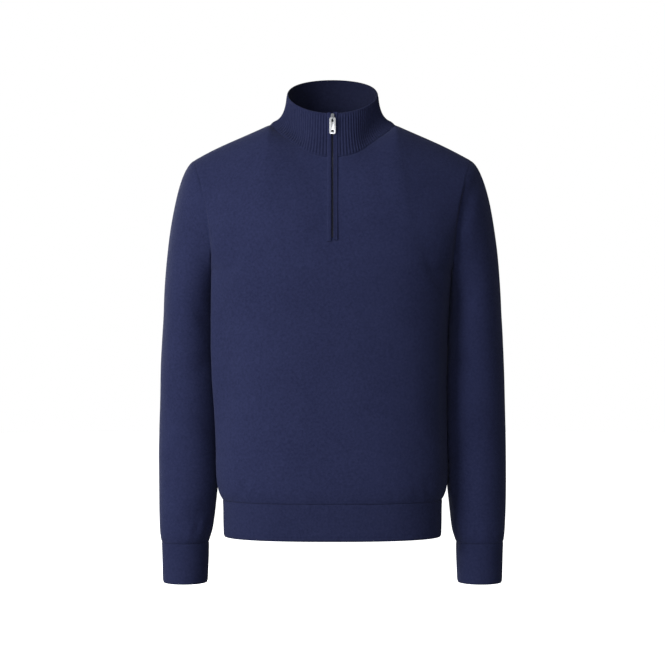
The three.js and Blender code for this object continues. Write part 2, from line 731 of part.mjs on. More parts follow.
const chainRight = rightRows.slice(1);
const chainLeft = leftRows.slice(1);
const chainShare = (slitHalf - seamGap) / slitHalf;
const chainGrid = chainRight.map((row, k) => {
  const centre = mix(row.slit, chainLeft[k].slit, 0.5);
  return [mix(centre, chainLeft[k].slit, chainShare), mix(centre, row.slit, chainShare)];
});
const endLift = chainGrid[1][0].clone().sub(chainGrid[0][0]).normalize().multiplyScalar(seamGap);
chainGrid[0].forEach((p) => p.add(endLift));
const chainNormals = chainRight.map((row) => [row.normal, row.normal]);
addNode('zip_chain', wallGeometry(
  offsetGrid(chainGrid, chainNormals, -chainInset),
  offsetGrid(chainGrid, chainNormals, -jerseyWall),
), zipCloth);

// Slider and pull stand in a frame of their own: +Z up the collar front, -Y away from the cloth
const topRow = chainGrid.at(-1);
const rowBelow = chainGrid.at(-2);
const zipTop = mix(topRow[0], topRow[1], 0.5);
const zipBelow = mix(rowBelow[0], rowBelow[1], 0.5);
const zipWay = zipTop.clone().sub(zipBelow).normalize();
const zipLean = Math.atan2(zipWay.y, zipWay.z);
const fittings = new THREE.Group();
fittings.position.copy(zipTop).addScaledVector(zipWay, -slider.hingeBelowRim);
fittings.rotation.x = -zipLean;
sweater.add(fittings);

function roundedOutline(target, width, height, corner, centreZ) {
  const x = width / 2;
  const low = centreZ - height / 2;
  const high = centreZ + height / 2;
  target.moveTo(-x + corner, low);
  target.lineTo(x - corner, low);
  target.absarc(x - corner, low + corner, corner, -Math.PI / 2, 0);
  target.lineTo(x, high - corner);
  target.absarc(x - corner, high - corner, corner, 0, Math.PI / 2);
  target.lineTo(-x + corner, high);
  target.absarc(-x + corner, high - corner, corner, Math.PI / 2, Math.PI);
  target.lineTo(-x, low + corner);
  target.absarc(-x + corner, low + corner, corner, Math.PI, 1.5 * Math.PI);
  return target;
}

// An outline drawn in X and Z, thickened from one Y towards the viewer
function plate(shape, backY, thick) {
  const geometry = new THREE.ExtrudeGeometry(shape, { depth: thick, bevelEnabled: false, curveSegments: 4 });
  geometry.rotateX(Math.PI / 2);
  geometry.translate(0, backY, 0);
  return geometry;
}

function solid(geometry) {
  const bare = geometry.clone();
  bare.deleteAttribute('normal');
  bare.deleteAttribute('uv');
  const merged = mergeVertices(bare, 1e-4);
  return new wasm.Manifold(new wasm.Mesh({
    numProp: 3,
    vertProperties: new Float32Array(merged.attributes.position.array),
    triVerts: new Uint32Array(merged.index.array),
  }));
}

function meshOf(body) {
  const mesh = body.getMesh();
  const geometry = new THREE.BufferGeometry();
  geometry.setAttribute('position', new THREE.BufferAttribute(mesh.vertProperties, 3));
  geometry.setIndex(new THREE.BufferAttribute(mesh.triVerts, 1));
  return geometry;
}

const bandTop = seamGap + bandWall;
const sliderBack = -(bandTop + seamGap);
const sliderFace = sliderBack - slider.thick;
const hingeY = sliderFace - bail.inner - fittingOverlap / 2;

function sliderGeometry() {
  const outline = roundedOutline(new THREE.Shape(), slider.width, slider.height, slider.corner, slider.overHinge);
  const body = solid(plate(outline, sliderBack, slider.thick));
  const stemLength = -sliderBack + fittingOverlap;
  const stem = new THREE.BoxGeometry(sliderStem.width, stemLength, sliderStem.height);
  stem.translate(0, (sliderBack - fittingOverlap) / 2, 0);
  const ring = new THREE.Shape();
  ring.absarc(0, 0, bail.outer, 0, 2 * Math.PI);
  ring.holes.push(new THREE.Path().absarc(0, 0, bail.inner, 0, 2 * Math.PI));
  const arch = new THREE.ExtrudeGeometry(ring, { depth: bail.width, bevelEnabled: false, curveSegments: 10 });
  arch.translate(0, 0, -bail.width / 2);
  arch.rotateY(Math.PI / 2);
  arch.translate(0, hingeY, 0);
  return meshOf(body.add(solid(stem)).add(solid(arch)));
}

function pullGeometry() {
  const top = pull.bar / 2;
  const middle = top - pull.length / 2;
  const outline = roundedOutline(new THREE.Shape(), pull.width, pull.length, pull.corner, middle);
  const windowMiddle = -top - pullWindow.height / 2;
  const slotMiddle = top - pull.length + pullSlot.fromEnd + pullSlot.height / 2;
  outline.holes.push(
    roundedOutline(new THREE.Path(), pullWindow.width, pullWindow.height, pullWindow.corner, windowMiddle),
    roundedOutline(new THREE.Path(), pullSlot.width, pullSlot.height, pullSlot.corner, slotMiddle),
  );
  const geometry = plate(outline, pull.thick / 2, pull.thick);
  geometry.rotateX(radians(pullLean));
  geometry.translate(0, hingeY, 0);
  return geometry;
}

addNode('zip_slider', sliderGeometry(), metal, fittings);
addNode('pull_tab', meshOf(solid(pullGeometry())), metal, fittings);

export default sweater;
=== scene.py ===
import math

import bmesh
import bpy
import numpy as np
from mathutils import Matrix, Vector, noise


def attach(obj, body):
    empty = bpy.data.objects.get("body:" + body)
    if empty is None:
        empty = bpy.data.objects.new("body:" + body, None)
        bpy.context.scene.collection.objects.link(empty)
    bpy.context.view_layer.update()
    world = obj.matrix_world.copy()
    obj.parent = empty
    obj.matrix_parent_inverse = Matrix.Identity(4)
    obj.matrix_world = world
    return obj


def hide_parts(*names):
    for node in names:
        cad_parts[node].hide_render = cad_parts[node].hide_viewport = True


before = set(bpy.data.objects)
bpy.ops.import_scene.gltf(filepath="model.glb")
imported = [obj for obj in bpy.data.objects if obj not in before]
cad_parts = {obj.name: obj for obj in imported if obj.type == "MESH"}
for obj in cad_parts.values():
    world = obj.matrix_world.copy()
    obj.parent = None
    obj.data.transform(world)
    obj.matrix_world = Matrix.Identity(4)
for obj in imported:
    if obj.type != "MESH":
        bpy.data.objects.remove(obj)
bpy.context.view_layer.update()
millimetre = 0.001


# Camera, lights and floor

camera = {"x": 0, "distance": 2600, "height": -334, "viewWidth": 1097.25, "sensor": 36}
studio = {
    "keyPlace": (-2.6, -2.3, 0.6), "keySize": 2.0, "keyPower": 136,
    "fillPlace": (-0.2, -3.3, 0.1), "fillSize": 1.6, "fillPower": 34,
    "backPlace": (-1.9, 2.6, 0.5), "backSize": 1.6, "backPower": 60,
    "aim": (0, 0, -0.33), "ambientLeft": 0.27, "ambientRight": 0.04, "ambientColour": (0.93, 0.95, 1),
    "shine": 0.5, "white": (1, 1, 1), "floor": -1.06, "floorRadius": 9, "floorShade": (0.9, 0.9, 0.9),
    "floorRoughness": 0.9,
}


def addCamera():
    data = bpy.data.cameras.new("camera")
    data.sensor_width = camera["sensor"]
    data.lens = camera["sensor"] * camera["distance"] / camera["viewWidth"]
    place = bpy.data.objects.new("camera", data)
    place.location = Vector((camera["x"], -camera["distance"], camera["height"])) * millimetre
    place.rotation_euler = (math.radians(90), 0, 0)
    bpy.context.scene.collection.objects.link(place)
    bpy.context.scene.camera = place


def addLight(name, place, size, power):
    data = bpy.data.lights.new(name, "AREA")
    data.shape = "SQUARE"
    data.size = size
    data.energy = power
    lamp = bpy.data.objects.new(name, data)
    lamp.location = place
    lamp.rotation_euler = (Vector(studio["aim"]) - Vector(place)).to_track_quat("-Z", "Y").to_euler()
    bpy.context.scene.collection.objects.link(lamp)


def addWorld():
    world = bpy.data.worlds.new("studio")
    bpy.context.scene.world = world
    world.use_nodes = True
    nodes, links = world.node_tree.nodes, world.node_tree.links
    nodes.clear()
    seen = nodes.new("ShaderNodeBackground")
    seen.inputs["Color"].default_value = (*studio["white"], 1)
    light = nodes.new("ShaderNodeBackground")
    light.inputs["Color"].default_value = (*studio["ambientColour"], 1)
    way = nodes.new("ShaderNodeTexCoord")
    split = nodes.new("ShaderNodeSeparateXYZ")
    links.new(way.outputs["Generated"], split.inputs[0])
    across = nodes.new("ShaderNodeMapRange")
    across.inputs["From Min"].default_value = -1
    across.inputs["From Max"].default_value = 1
    across.inputs["To Min"].default_value = studio["ambientLeft"]
    across.inputs["To Max"].default_value = studio["ambientRight"]
    links.new(split.outputs["X"], across.inputs["Value"])
    links.new(across.outputs["Result"], light.inputs["Strength"])
    shine = nodes.new("ShaderNodeBackground")
    shine.inputs["Strength"].default_value = studio["shine"]
    shine.inputs["Color"].default_value = (*studio["white"], 1)
    path = nodes.new("ShaderNodeLightPath")
    first = nodes.new("ShaderNodeMixShader")
    second = nodes.new("ShaderNodeMixShader")
    out = nodes.new("ShaderNodeOutputWorld")
    links.new(path.outputs["Is Glossy Ray"], first.inputs["Fac"])
    links.new(light.outputs[0], first.inputs[1])
    links.new(shine.outputs[0], first.inputs[2])
    links.new(path.outputs["Is Camera Ray"], second.inputs["Fac"])
    links.new(first.outputs[0], second.inputs[1])
    links.new(seen.outputs[0], second.inputs[2])
    links.new(second.outputs[0], out.inputs["Surface"])


def addFloor():
    bm = bmesh.new()
    bmesh.ops.create_circle(bm, cap_ends=True, segments=96, radius=studio["floorRadius"])
    bmesh.ops.translate(bm, vec=(0, 0, studio["floor"]), verts=bm.verts)
    mesh = bpy.data.meshes.new("floor")
    bm.to_mesh(mesh)
    floor = bpy.data.objects.new("floor", mesh)
    bpy.context.scene.collection.objects.link(floor)
    material = bpy.data.materials.new("paleFloor")
    material.use_nodes = True
    shader = material.node_tree.nodes["Principled BSDF"]
    shader.inputs["Base Color"].default_value = (*studio["floorShade"], 1)
    shader.inputs["Roughness"].default_value = studio["floorRoughness"]
    shader.inputs["Emission Color"].default_value = (*studio["white"], 1)
    shader.inputs["Emission Strength"].default_value = 1
    mesh.materials.append(material)
    floor.visible_diffuse = False
    floor.visible_glossy = False


addCamera()
addLight("key", studio["keyPlace"], studio["keySize"], studio["keyPower"])
addLight("fill", studio["fillPlace"], studio["fillSize"], studio["fillPower"])
addLight("back", studio["backPlace"], studio["backSize"], studio["backPower"])
addWorld()
addFloor()
bpy.context.scene.view_settings.view_transform = "Standard"
print("studio set")


# Materials

navy = {
    "jersey": {
        "dark": (0.0125, 0.0158, 0.049), "light": (0.0265, 0.0325, 0.088), "wale": 1.3, "course": 1.05,
        "mottle": 260, "relief": 0.0002, "roughness": 0.92, "sheen": 0.06,
    },
    "fineRib": {
        "dark": (0.012, 0.0152, 0.047), "light": (0.0245, 0.0300, 0.081), "wale": 1.3, "course": 1.05,
        "mottle": 260, "relief": 0.0002, "roughness": 0.92, "sheen": 0.06,
    },
    # The collar's rib knit is set darker than the other knits: partly its own tone, partly painted shade over the
    # collar
    "boldRib": {
        "dark": (0.0105, 0.0133, 0.0405), "light": (0.022, 0.0267, 0.073), "wale": 1.5, "course": 1.2,
        "mottle": 260, "relief": 0.0002, "roughness": 0.92, "sheen": 0.06,
    },
    # The collar's inside: the same knit much darker, painted shade inside the collar
    "paintedShadeCollarInside": {
        "dark": (0.005, 0.0062, 0.019), "light": (0.0105, 0.0128, 0.0345), "wale": 1.5, "course": 1.2,
        "mottle": 260, "relief": 0.0002, "roughness": 0.95, "sheen": 0.04,
    },
}
# What every knit shares: how far the stitches wander, what each part adds to the colour (the yarn's uneven mottle and
# patches, and the stitch height as painted shade, darker in the dips between stitches), and the fuzz
knit = {
    "wander": 1.6, "wanderScale": 45, "legSlant": 1.5, "yarnShare": 0.3,
    "mottleShare": 1.1, "stitchPaintedShade": 0.3, "patchShare": 0.35, "patchScale": 14, "darkest": 0.5, "lightest": 1.3,
    "fuzzScale": 900, "fuzzShare": 0.5, "bump": 0.7, "specular": 0.1,
    "sheenRoughness": 0.45, "sheenTint": (0.55, 0.6, 0.85),
}


def mathNode(tree, operation, *values):
    node = tree.nodes.new("ShaderNodeMath")
    node.operation = operation
    for socket, value in zip(node.inputs, values):
        if isinstance(value, (int, float)):
            socket.default_value = value
        else:
            tree.links.new(value, socket)
    return node.outputs[0]


def noiseNode(tree, scale, detail, roughness=0.5):
    place = tree.nodes.new("ShaderNodeTexCoord")
    node = tree.nodes.new("ShaderNodeTexNoise")
    node.inputs["Scale"].default_value = scale
    node.inputs["Detail"].default_value = detail
    node.inputs["Roughness"].default_value = roughness
    tree.links.new(place.outputs["Object"], node.inputs["Vector"])
    return node.outputs["Fac"]


# Stockinette: each wale is a column of small V stitches, read from the piece's own map in millimetres
def stitchHeight(tree, wale, course):
    place = tree.nodes.new("ShaderNodeUVMap")
    place.uv_map = "knit"
    split = tree.nodes.new("ShaderNodeSeparateXYZ")
    tree.links.new(place.outputs["UV"], split.inputs[0])
    uneven = mathNode(tree, "SUBTRACT", noiseNode(tree, knit["wanderScale"], 2), 0.5)
    wander = mathNode(tree, "MULTIPLY", uneven, knit["wander"])
    across = mathNode(tree, "ADD", mathNode(tree, "DIVIDE", split.outputs["X"], wale), wander)
    along = mathNode(tree, "ADD", mathNode(tree, "DIVIDE", split.outputs["Y"], course), wander)
    leg = mathNode(tree, "PINGPONG", across, 0.5)
    dome = mathNode(tree, "SINE", mathNode(tree, "MULTIPLY", leg, 2 * math.pi))
    slant = mathNode(tree, "SUBTRACT", along, mathNode(tree, "MULTIPLY", leg, knit["legSlant"]))
    yarn = mathNode(tree, "SINE", mathNode(tree, "MULTIPLY", slant, 2 * math.pi))
    soft = mathNode(tree, "MULTIPLY_ADD", yarn, knit["yarnShare"], 1 - knit["yarnShare"])
    return mathNode(tree, "MULTIPLY", dome, soft)


def knitMaterial(name, look):
    material = bpy.data.materials.new(name)
    material.use_nodes = True
    tree = material.node_tree
    shader = tree.nodes["Principled BSDF"]
    stitch = stitchHeight(tree, look["wale"], look["course"])
    mottle = noiseNode(tree, look["mottle"], 3, 0.65)
    patches = noiseNode(tree, knit["patchScale"], 2)
    # Colour: the yarn's mottle and patches, plus the stitch height as painted shade, darker in the dips between
    # stitches and lighter on their tops
    shade = mathNode(
        tree, "ADD", mathNode(tree, "MULTIPLY", mottle, knit["mottleShare"]),
        mathNode(tree, "MULTIPLY", stitch, knit["stitchPaintedShade"]),
    )
    shade = mathNode(tree, "ADD", shade, mathNode(tree, "MULTIPLY", patches, knit["patchShare"]))
    ramp = tree.nodes.new("ShaderNodeMapRange")
    ramp.inputs["From Min"].default_value = knit["darkest"]
    ramp.inputs["From Max"].default_value = knit["lightest"]
    tree.links.new(shade, ramp.inputs["Value"])
    mixer = tree.nodes.new("ShaderNodeMix")
    mixer.data_type = "RGBA"
    mixer.inputs["A"].default_value = (*look["dark"], 1)
    mixer.inputs["B"].default_value = (*look["light"], 1)
    tree.links.new(ramp.outputs["Result"], mixer.inputs["Factor"])
    tree.links.new(mixer.outputs["Result"], shader.inputs["Base Color"])
    fuzz = noiseNode(tree, knit["fuzzScale"], 2)
    height = mathNode(tree, "ADD", stitch, mathNode(tree, "MULTIPLY", fuzz, knit["fuzzShare"]))
    bump = tree.nodes.new("ShaderNodeBump")
    bump.inputs["Strength"].default_value = knit["bump"]
    bump.inputs["Distance"].default_value = look["relief"]
    tree.links.new(height, bump.inputs["Height"])
    tree.links.new(bump.outputs["Normal"], shader.inputs["Normal"])
    shader.inputs["Roughness"].default_value = look["roughness"]
    shader.inputs["Specular IOR Level"].default_value = knit["specular"]
    shader.inputs["Sheen Weight"].default_value = look["sheen"]
    shader.inputs["Sheen Roughness"].default_value = knit["sheenRoughness"]
    shader.inputs["Sheen Tint"].default_value = (*knit["sheenTint"], 1)
    return material


tape = {
    "dark": (0.006, 0.0075, 0.018), "light": (0.013, 0.015, 0.034), "thread": 0.55,
    "bump": 0.5, "relief": 0.0001, "roughness": 0.7, "coilGrain": 400, "coilRoughness": 0.38,
}
steel = {
    "pull": {"colour": (0.52, 0.53, 0.55), "roughness": 0.34},
    "slider": {"colour": (0.26, 0.27, 0.29), "roughness": 0.4},
    "brushed": 0.00002, "bump": 0.35, "grain": (6000, 6000, 300),
    "wearScale": 500, "smoother": 0.05, "rougher": 0.1,
}


def tapeMaterial():
    material = bpy.data.materials.new("zipTapeWeave")
    material.use_nodes = True
    tree = material.node_tree
    shader = tree.nodes["Principled BSDF"]
    place = tree.nodes.new("ShaderNodeTexCoord")
    split = tree.nodes.new("ShaderNodeSeparateXYZ")
    tree.links.new(place.outputs["Object"], split.inputs[0])
    turnsPerMetre = 2 * math.pi / (tape["thread"] * millimetre)
    warp = mathNode(tree, "SINE", mathNode(tree, "MULTIPLY", split.outputs["X"], turnsPerMetre))
    weft = mathNode(tree, "SINE", mathNode(tree, "MULTIPLY", split.outputs["Z"], turnsPerMetre))
    weave = mathNode(tree, "MULTIPLY_ADD", mathNode(tree, "MULTIPLY", warp, weft), 0.5, 0.5)
    # The tape's colour follows the weave's height: painted shade, darker in the dips between threads and lighter on the
    # raised threads
    mixer = tree.nodes.new("ShaderNodeMix")
    mixer.data_type = "RGBA"
    mixer.inputs["A"].default_value = (*tape["dark"], 1)
    mixer.inputs["B"].default_value = (*tape["light"], 1)
    tree.links.new(weave, mixer.inputs["Factor"])
    tree.links.new(mixer.outputs["Result"], shader.inputs["Base Color"])
    bump = tree.nodes.new("ShaderNodeBump")
    bump.inputs["Strength"].default_value = tape["bump"]
    bump.inputs["Distance"].default_value = tape["relief"]
    tree.links.new(weave, bump.inputs["Height"])
    tree.links.new(bump.outputs["Normal"], shader.inputs["Normal"])
    shader.inputs["Roughness"].default_value = tape["roughness"]
    return material


def coilMaterial():
    material = bpy.data.materials.new("zipCoilNylon")
    material.use_nodes = True
    tree = material.node_tree
    shader = tree.nodes["Principled BSDF"]
    mixer = tree.nodes.new("ShaderNodeMix")
    mixer.data_type = "RGBA"
    mixer.inputs["A"].default_value = (*tape["dark"], 1)
    mixer.inputs["B"].default_value = (*tape["light"], 1)
    tree.links.new(noiseNode(tree, tape["coilGrain"], 2), mixer.inputs["Factor"])
    tree.links.new(mixer.outputs["Result"], shader.inputs["Base Color"])
    shader.inputs["Roughness"].default_value = tape["coilRoughness"]
    return material


def steelMaterial(name, look):
    material = bpy.data.materials.new(name)
    material.use_nodes = True
    tree = material.node_tree
    shader = tree.nodes["Principled BSDF"]
    wear = noiseNode(tree, steel["wearScale"], 4, 0.6)
    spread = tree.nodes.new("ShaderNodeMapRange")
    spread.inputs["To Min"].default_value = look["roughness"] - steel["smoother"]
    spread.inputs["To Max"].default_value = look["roughness"] + steel["rougher"]
    tree.links.new(wear, spread.inputs["Value"])
    tree.links.new(spread.outputs["Result"], shader.inputs["Roughness"])
    place = tree.nodes.new("ShaderNodeTexCoord")
    stretch = tree.nodes.new("ShaderNodeMapping")
    stretch.inputs["Scale"].default_value = steel["grain"]
    grain = tree.nodes.new("ShaderNodeTexNoise")
    grain.inputs["Scale"].default_value = 1
    tree.links.new(place.outputs["Object"], stretch.inputs["Vector"])
    tree.links.new(stretch.outputs["Vector"], grain.inputs["Vector"])
    bump = tree.nodes.new("ShaderNodeBump")
    bump.inputs["Strength"].default_value = steel["bump"]
    bump.inputs["Distance"].default_value = steel["brushed"]
    tree.links.new(grain.outputs["Fac"], bump.inputs["Height"])
    tree.links.new(bump.outputs["Normal"], shader.inputs["Normal"])
    shader.inputs["Base Color"].default_value = (*look["colour"], 1)
    shader.inputs["Metallic"].default_value = 1
    return material


jerseyKnit = knitMaterial("jerseyKnit", navy["jersey"])
fineRibKnit = knitMaterial("fineRibKnit", navy["fineRib"])
boldRibKnit = knitMaterial("boldRibKnit", navy["boldRib"])
paintedShadeCollarInsideKnit = knitMaterial("paintedShadeCollarInsideKnit", navy["paintedShadeCollarInside"])
zipTapeWeave = tapeMaterial()
zipCoilNylon = coilMaterial()
pullSteel = steelMaterial("pullSteel", steel["pull"])
sliderSteel = steelMaterial("sliderSteel", steel["slider"])
print("materials ready")


# Shape of the garment, as the solids have it

body = {
    "sideSeamY": -20, "frontBoxiness": 2.5, "backBoxiness": 2.1, "hemTopZ": -606, "underarmZ": -232,
    "rows": [
        {"z": -606, "half": 179.2, "front": 95.5, "back": 124},
        {"z": -600, "half": 182.8, "front": 97.8, "back": 127},
        {"z": -590, "half": 186.2, "front": 100.3, "back": 130},
        {"z": -568, "half": 188.5, "front": 102, "back": 132},
        {"z": -520, "half": 188, "front": 101, "back": 131},
        {"z": -460, "half": 187, "front": 99, "back": 130},
        {"z": -400, "half": 187, "front": 99, "back": 130},
        {"z": -345, "half": 188.5, "front": 102, "back": 132},
        {"z": -295, "half": 190.5, "front": 106, "back": 135},
        {"z": -255, "half": 193.5, "front": 109, "back": 137},
        {"z": -232, "half": 195.5, "front": 110, "back": 138},
    ],
}
hem = {
    "wall": 2.2, "ribs": 396, "rise": 0.22,
    "rows": [
        {"z": -606, "half": 179.2, "front": 95.5, "back": 124},
        {"z": -613, "half": 178.8, "front": 94.5, "back": 123},
        {"z": -640, "half": 178.4, "front": 92, "back": 121.5},
        {"z": -665.5, "half": 177.8, "front": 90, "back": 120},
    ],
}
armhole = {"tip": (228, 3, -50), "shoulderRise": 2.6, "crown": 1.5, "front": 60, "back": 68, "hollow": 2.2}
neckSeam = {"half": 102, "front": -79, "back": 74, "zFront": -53, "zSide": 8.5, "zBack": 18, "pinch": 0.15}
collarRim = {"half": 74.5, "front": -59, "back": 72, "zFront": 20, "zSide": 61, "zBack": 94, "pinch": 0}
neckShare = 5 / 11
# How the upper panels leave the underarm line and come over at the top
upper = {
    "rise": {"front": 150, "back": 230, "side": 290}, "over": {"front": 150, "back": 190, "side": 200},
    "lean": {"front": 24, "back": 4, "side": 84}, "leanPower": 1.5, "edgeFrom": 0.2,
}
stand = {
    "flare": {"front": 0.35, "back": 0.1, "side": 3.8}, "lift": {"centre": 24, "side": 22},
    "drop": 26, "inwards": {"side": -2, "centre": -5},
}
sleeve = {
    "wall": 2, "rows": [
        {"z": -300, "outer": 279.8, "inner": 189, "depth": 65, "y": 16},
        {"z": -345, "outer": 282.7, "inner": 187.4, "depth": 61, "y": 17},
        {"z": -400, "outer": 285, "inner": 186.2, "depth": 57, "y": 17},
        {"z": -460, "outer": 286.5, "inner": 186.2, "depth": 54, "y": 16},
        {"z": -520, "outer": 287.4, "inner": 187, "depth": 51, "y": 14},
        {"z": -577, "outer": 287.4, "inner": 188.8, "depth": 49, "y": 10},
        {"z": -612, "outer": 286.8, "inner": 191.8, "depth": 47.5, "y": 8},
        {"z": -640, "outer": 285.8, "inner": 194.8, "depth": 45, "y": 6},
        {"z": -662, "outer": 284.7, "inner": 198.4, "depth": 42.5, "y": 5},
        {"z": -672, "outer": 283.6, "inner": 201.6, "depth": 40, "y": 4},
        {"z": -679, "outer": 282, "inner": 204, "depth": 37.5, "y": 4},
    ],
}
cap = {
    "slopeTop": 25, "slopeLow": 112, "slopePower": 4, "reachTop": 31, "reachLow": 10, "dropTop": 110, "dropLow": 34,
    "tuck": 2,
}
cuff = {
    "wall": 2.2, "ribs": 92, "rise": 0.22, "rows": [
        {"z": -679, "outer": 282, "inner": 204, "depth": 37.5, "y": 4},
        {"z": -690, "outer": 281.6, "inner": 204, "depth": 37.3, "y": 4},
        {"z": -745.5, "outer": 280, "inner": 206, "depth": 35, "y": 3},
    ],
}


def lerp(a, b, t):
    return a + (b - a) * t


def clamp(t):
    return min(max(t, 0.0), 1.0)


def point(x, y, z):
    return np.array((x, y, z), float)


def unit(v):
    return v / max(float(np.linalg.norm(v)), 1e-9)


def bezier(p0, p1, p2, p3, t):
    s = 1 - t
    return p0 * s ** 3 + p1 * (3 * s * s * t) + p2 * (3 * s * t * t) + p3 * t ** 3


# A smooth curve through one named column of a table
def tableCurve(table, key):
    xs = np.array([row["z"] for row in table], float)
    ys = np.array([row[key] for row in table], float)
    order = np.argsort(xs)
    xs, ys = xs[order], ys[order]
    slopes = np.gradient(ys, xs)

    def value(x):
        k = int(np.clip(np.searchsorted(xs, x) - 1, 0, len(xs) - 2))
        wide = xs[k + 1] - xs[k]
        t = (x - xs[k]) / wide
        a, b = (1 + 2 * t) * (1 - t) ** 2, t * (1 - t) ** 2
        c, d = t * t * (3 - 2 * t), t * t * (t - 1)
        return a * ys[k] + b * wide * slopes[k] + c * ys[k + 1] + d * wide * slopes[k + 1]

    return value


def rowFinder(table):
    curves = {key: tableCurve(table, key) for key in table[0] if key != "z"}
    return lambda z: {"z": z, **{key: curve(z) for key, curve in curves.items()}}


bodyRow = rowFinder(body["rows"])
hemRow = rowFinder(hem["rows"])
sleeveRow = rowFinder(sleeve["rows"])
cuffRow = rowFinder(cuff["rows"])


def sectionPoint(row, turn):
    s, c = math.sin(math.radians(turn)), math.cos(math.radians(turn))
    depth = row["front"] if c > 0 else row["back"]
    power = 2 / (body["frontBoxiness"] if c > 0 else body["backBoxiness"])
    x = row["half"] * math.copysign(abs(s) ** power, s)
    return point(x, body["sideSeamY"] - depth * math.copysign(abs(c) ** power, c), row["z"])


def ringPoint(ring, turn):
    c = math.cos(math.radians(turn))
    a = (ring["zFront"] + ring["zBack"] + 2 * ring["zSide"]) / 4
    b = (ring["zFront"] - ring["zBack"]) / 2
    d = (ring["zFront"] + ring["zBack"] - 2 * ring["zSide"]) / 4
    middle = (ring["front"] + ring["back"]) / 2
    z = a + b * c + d * math.cos(math.radians(2 * turn))
    narrowed = 1 - ring["pinch"] * math.sin(math.radians(2 * turn)) ** 2
    return point(ring["half"] * narrowed * math.sin(math.radians(turn)), middle + (ring["front"] - middle) * c, z)


def armholePoint(turn):
    s = math.sin(math.radians(turn))
    high = (1 + math.cos(math.radians(turn))) / 2
    tipX, tipY, tipZ = armhole["tip"]
    x = lerp(body["rows"][-1]["half"], tipX, high ** armhole["hollow"])
    y = lerp(body["sideSeamY"], tipY, high) - s * (armhole["front"] if s > 0 else armhole["back"])
    return point(x, y, lerp(body["underarmZ"], tipZ, high))


def topEdge(u, back):
    side, share = math.copysign(1, u), abs(u)
    if share <= neckShare:
        turn = 90 * share / neckShare
        p = ringPoint(neckSeam, 180 - turn if back else turn)
    else:
        along = (share - neckShare) / (1 - neckShare)
        p = lerp(ringPoint(neckSeam, 90), point(*armhole["tip"]), along)
        p[2] += armhole["shoulderRise"] * math.sin(math.pi * along ** armhole["crown"])
    p[0] *= side
    return p


def upperPoint(u, s, back):
    outward, face = (-1, "back") if back else (1, "front")
    ease = lerp(s, (1 - math.cos(math.pi * s)) / 2, 0.5)
    centred = clamp(abs(u) / neckShare)
    rise = lerp(upper["rise"][face], upper["rise"]["side"], centred)
    lean = math.radians(lerp(upper["lean"][face], upper["lean"]["side"], centred ** upper["leanPower"]))
    over = lerp(upper["over"][face], upper["over"]["side"], centred)
    edgeOver = point(0, outward * math.sin(lean), math.cos(lean)) * over

    def along(share):
        p0 = sectionPoint(body["rows"][-1], 180 - 90 * share if back else 90 * share)
        p3 = topEdge(share, back)
        return bezier(p0, p0 + point(0, 0, rise / 3), p3 - edgeOver / 3, p3, ease)

    p = along(u)
    near = clamp((abs(u) - upper["edgeFrom"]) / (1 - upper["edgeFrom"])) ** 2
    if near > 0:
        side = math.copysign(1, u)
        edge = armholePoint(180 + 180 * s if back else 180 - 180 * s)
        edge[0] *= side
        p = p + (edge - along(side)) * near
    return p


def sleeveRingPoint(row, turn):
    middle, half = (row["outer"] + row["inner"]) / 2, (row["outer"] - row["inner"]) / 2
    c, s = math.cos(math.radians(turn)), math.sin(math.radians(turn))
    return point(middle + half * c, row["y"] - row["depth"] * s, row["z"])


def capPoint(turn, t):
    p0 = armholePoint(turn)
    p3 = sleeveRingPoint(sleeve["rows"][0], turn)
    low = (1 - math.cos(math.radians(turn))) / 2
    slope = math.radians(lerp(cap["slopeTop"], cap["slopeLow"], low ** cap["slopePower"]))
    p1 = p0 + point(math.cos(slope), 0, -math.sin(slope)) * lerp(cap["reachTop"], cap["reachLow"], low)
    p2 = p3 + point(-cap["tuck"] * (1 - 2 * low), 0, lerp(cap["dropTop"], cap["dropLow"], low))
    return bezier(p0, p1, p2, p3, t)


def collarPoint(turn, t):
    c, s = math.cos(math.radians(turn)), math.sin(math.radians(turn))
    inwards = point(-s, c, 0)
    sideways = (1 - c * c) ** 2
    flare = lerp(stand["flare"]["front" if c > 0 else "back"], stand["flare"]["side"], sideways)
    base, rim = ringPoint(neckSeam, turn), ringPoint(collarRim, turn)
    lift = lerp(stand["lift"]["centre"], stand["lift"]["side"], sideways)
    p1 = base + unit(inwards * flare + point(0, 0, 1)) * lift
    p2 = rim - point(0, 0, stand["drop"]) + inwards * lerp(stand["inwards"]["side"], stand["inwards"]["centre"], c * c)
    return bezier(base, p1, p2, rim, t)


# Grids of points, and cloth made from them

def gridNormals(grid, closed):
    if closed:  # the last column repeats the first
        ring = grid[:, :-1]
        across = np.roll(ring, -1, 1) - np.roll(ring, 1, 1)
        across = np.concatenate([across, across[:, :1]], 1)
    else:
        across = np.gradient(grid, axis=1)
    along = np.gradient(grid, axis=0)
    normals = np.cross(across, along)
    return normals / np.maximum(np.linalg.norm(normals, axis=2, keepdims=True), 1e-9)


# Interior points move a little towards their neighbours, and the edges stay
def relax(grid, rounds, closed=False):
    for _ in range(rounds):
        if closed:
            ring = grid[:, :-1]
            sides = np.roll(ring, 1, 1) + np.roll(ring, -1, 1)
            moved = (sides[1:-1] + ring[:-2] + ring[2:]) / 4
            grid[1:-1, :-1] = lerp(ring[1:-1], moved, 0.5)
            grid[:, -1] = grid[:, 0]
        else:
            inner = grid[1:-1, 1:-1]
            moved = (grid[1:-1, :-2] + grid[1:-1, 2:] + grid[:-2, 1:-1] + grid[2:, 1:-1]) / 4
            grid[1:-1, 1:-1] = lerp(inner, moved, 0.5)
    return grid


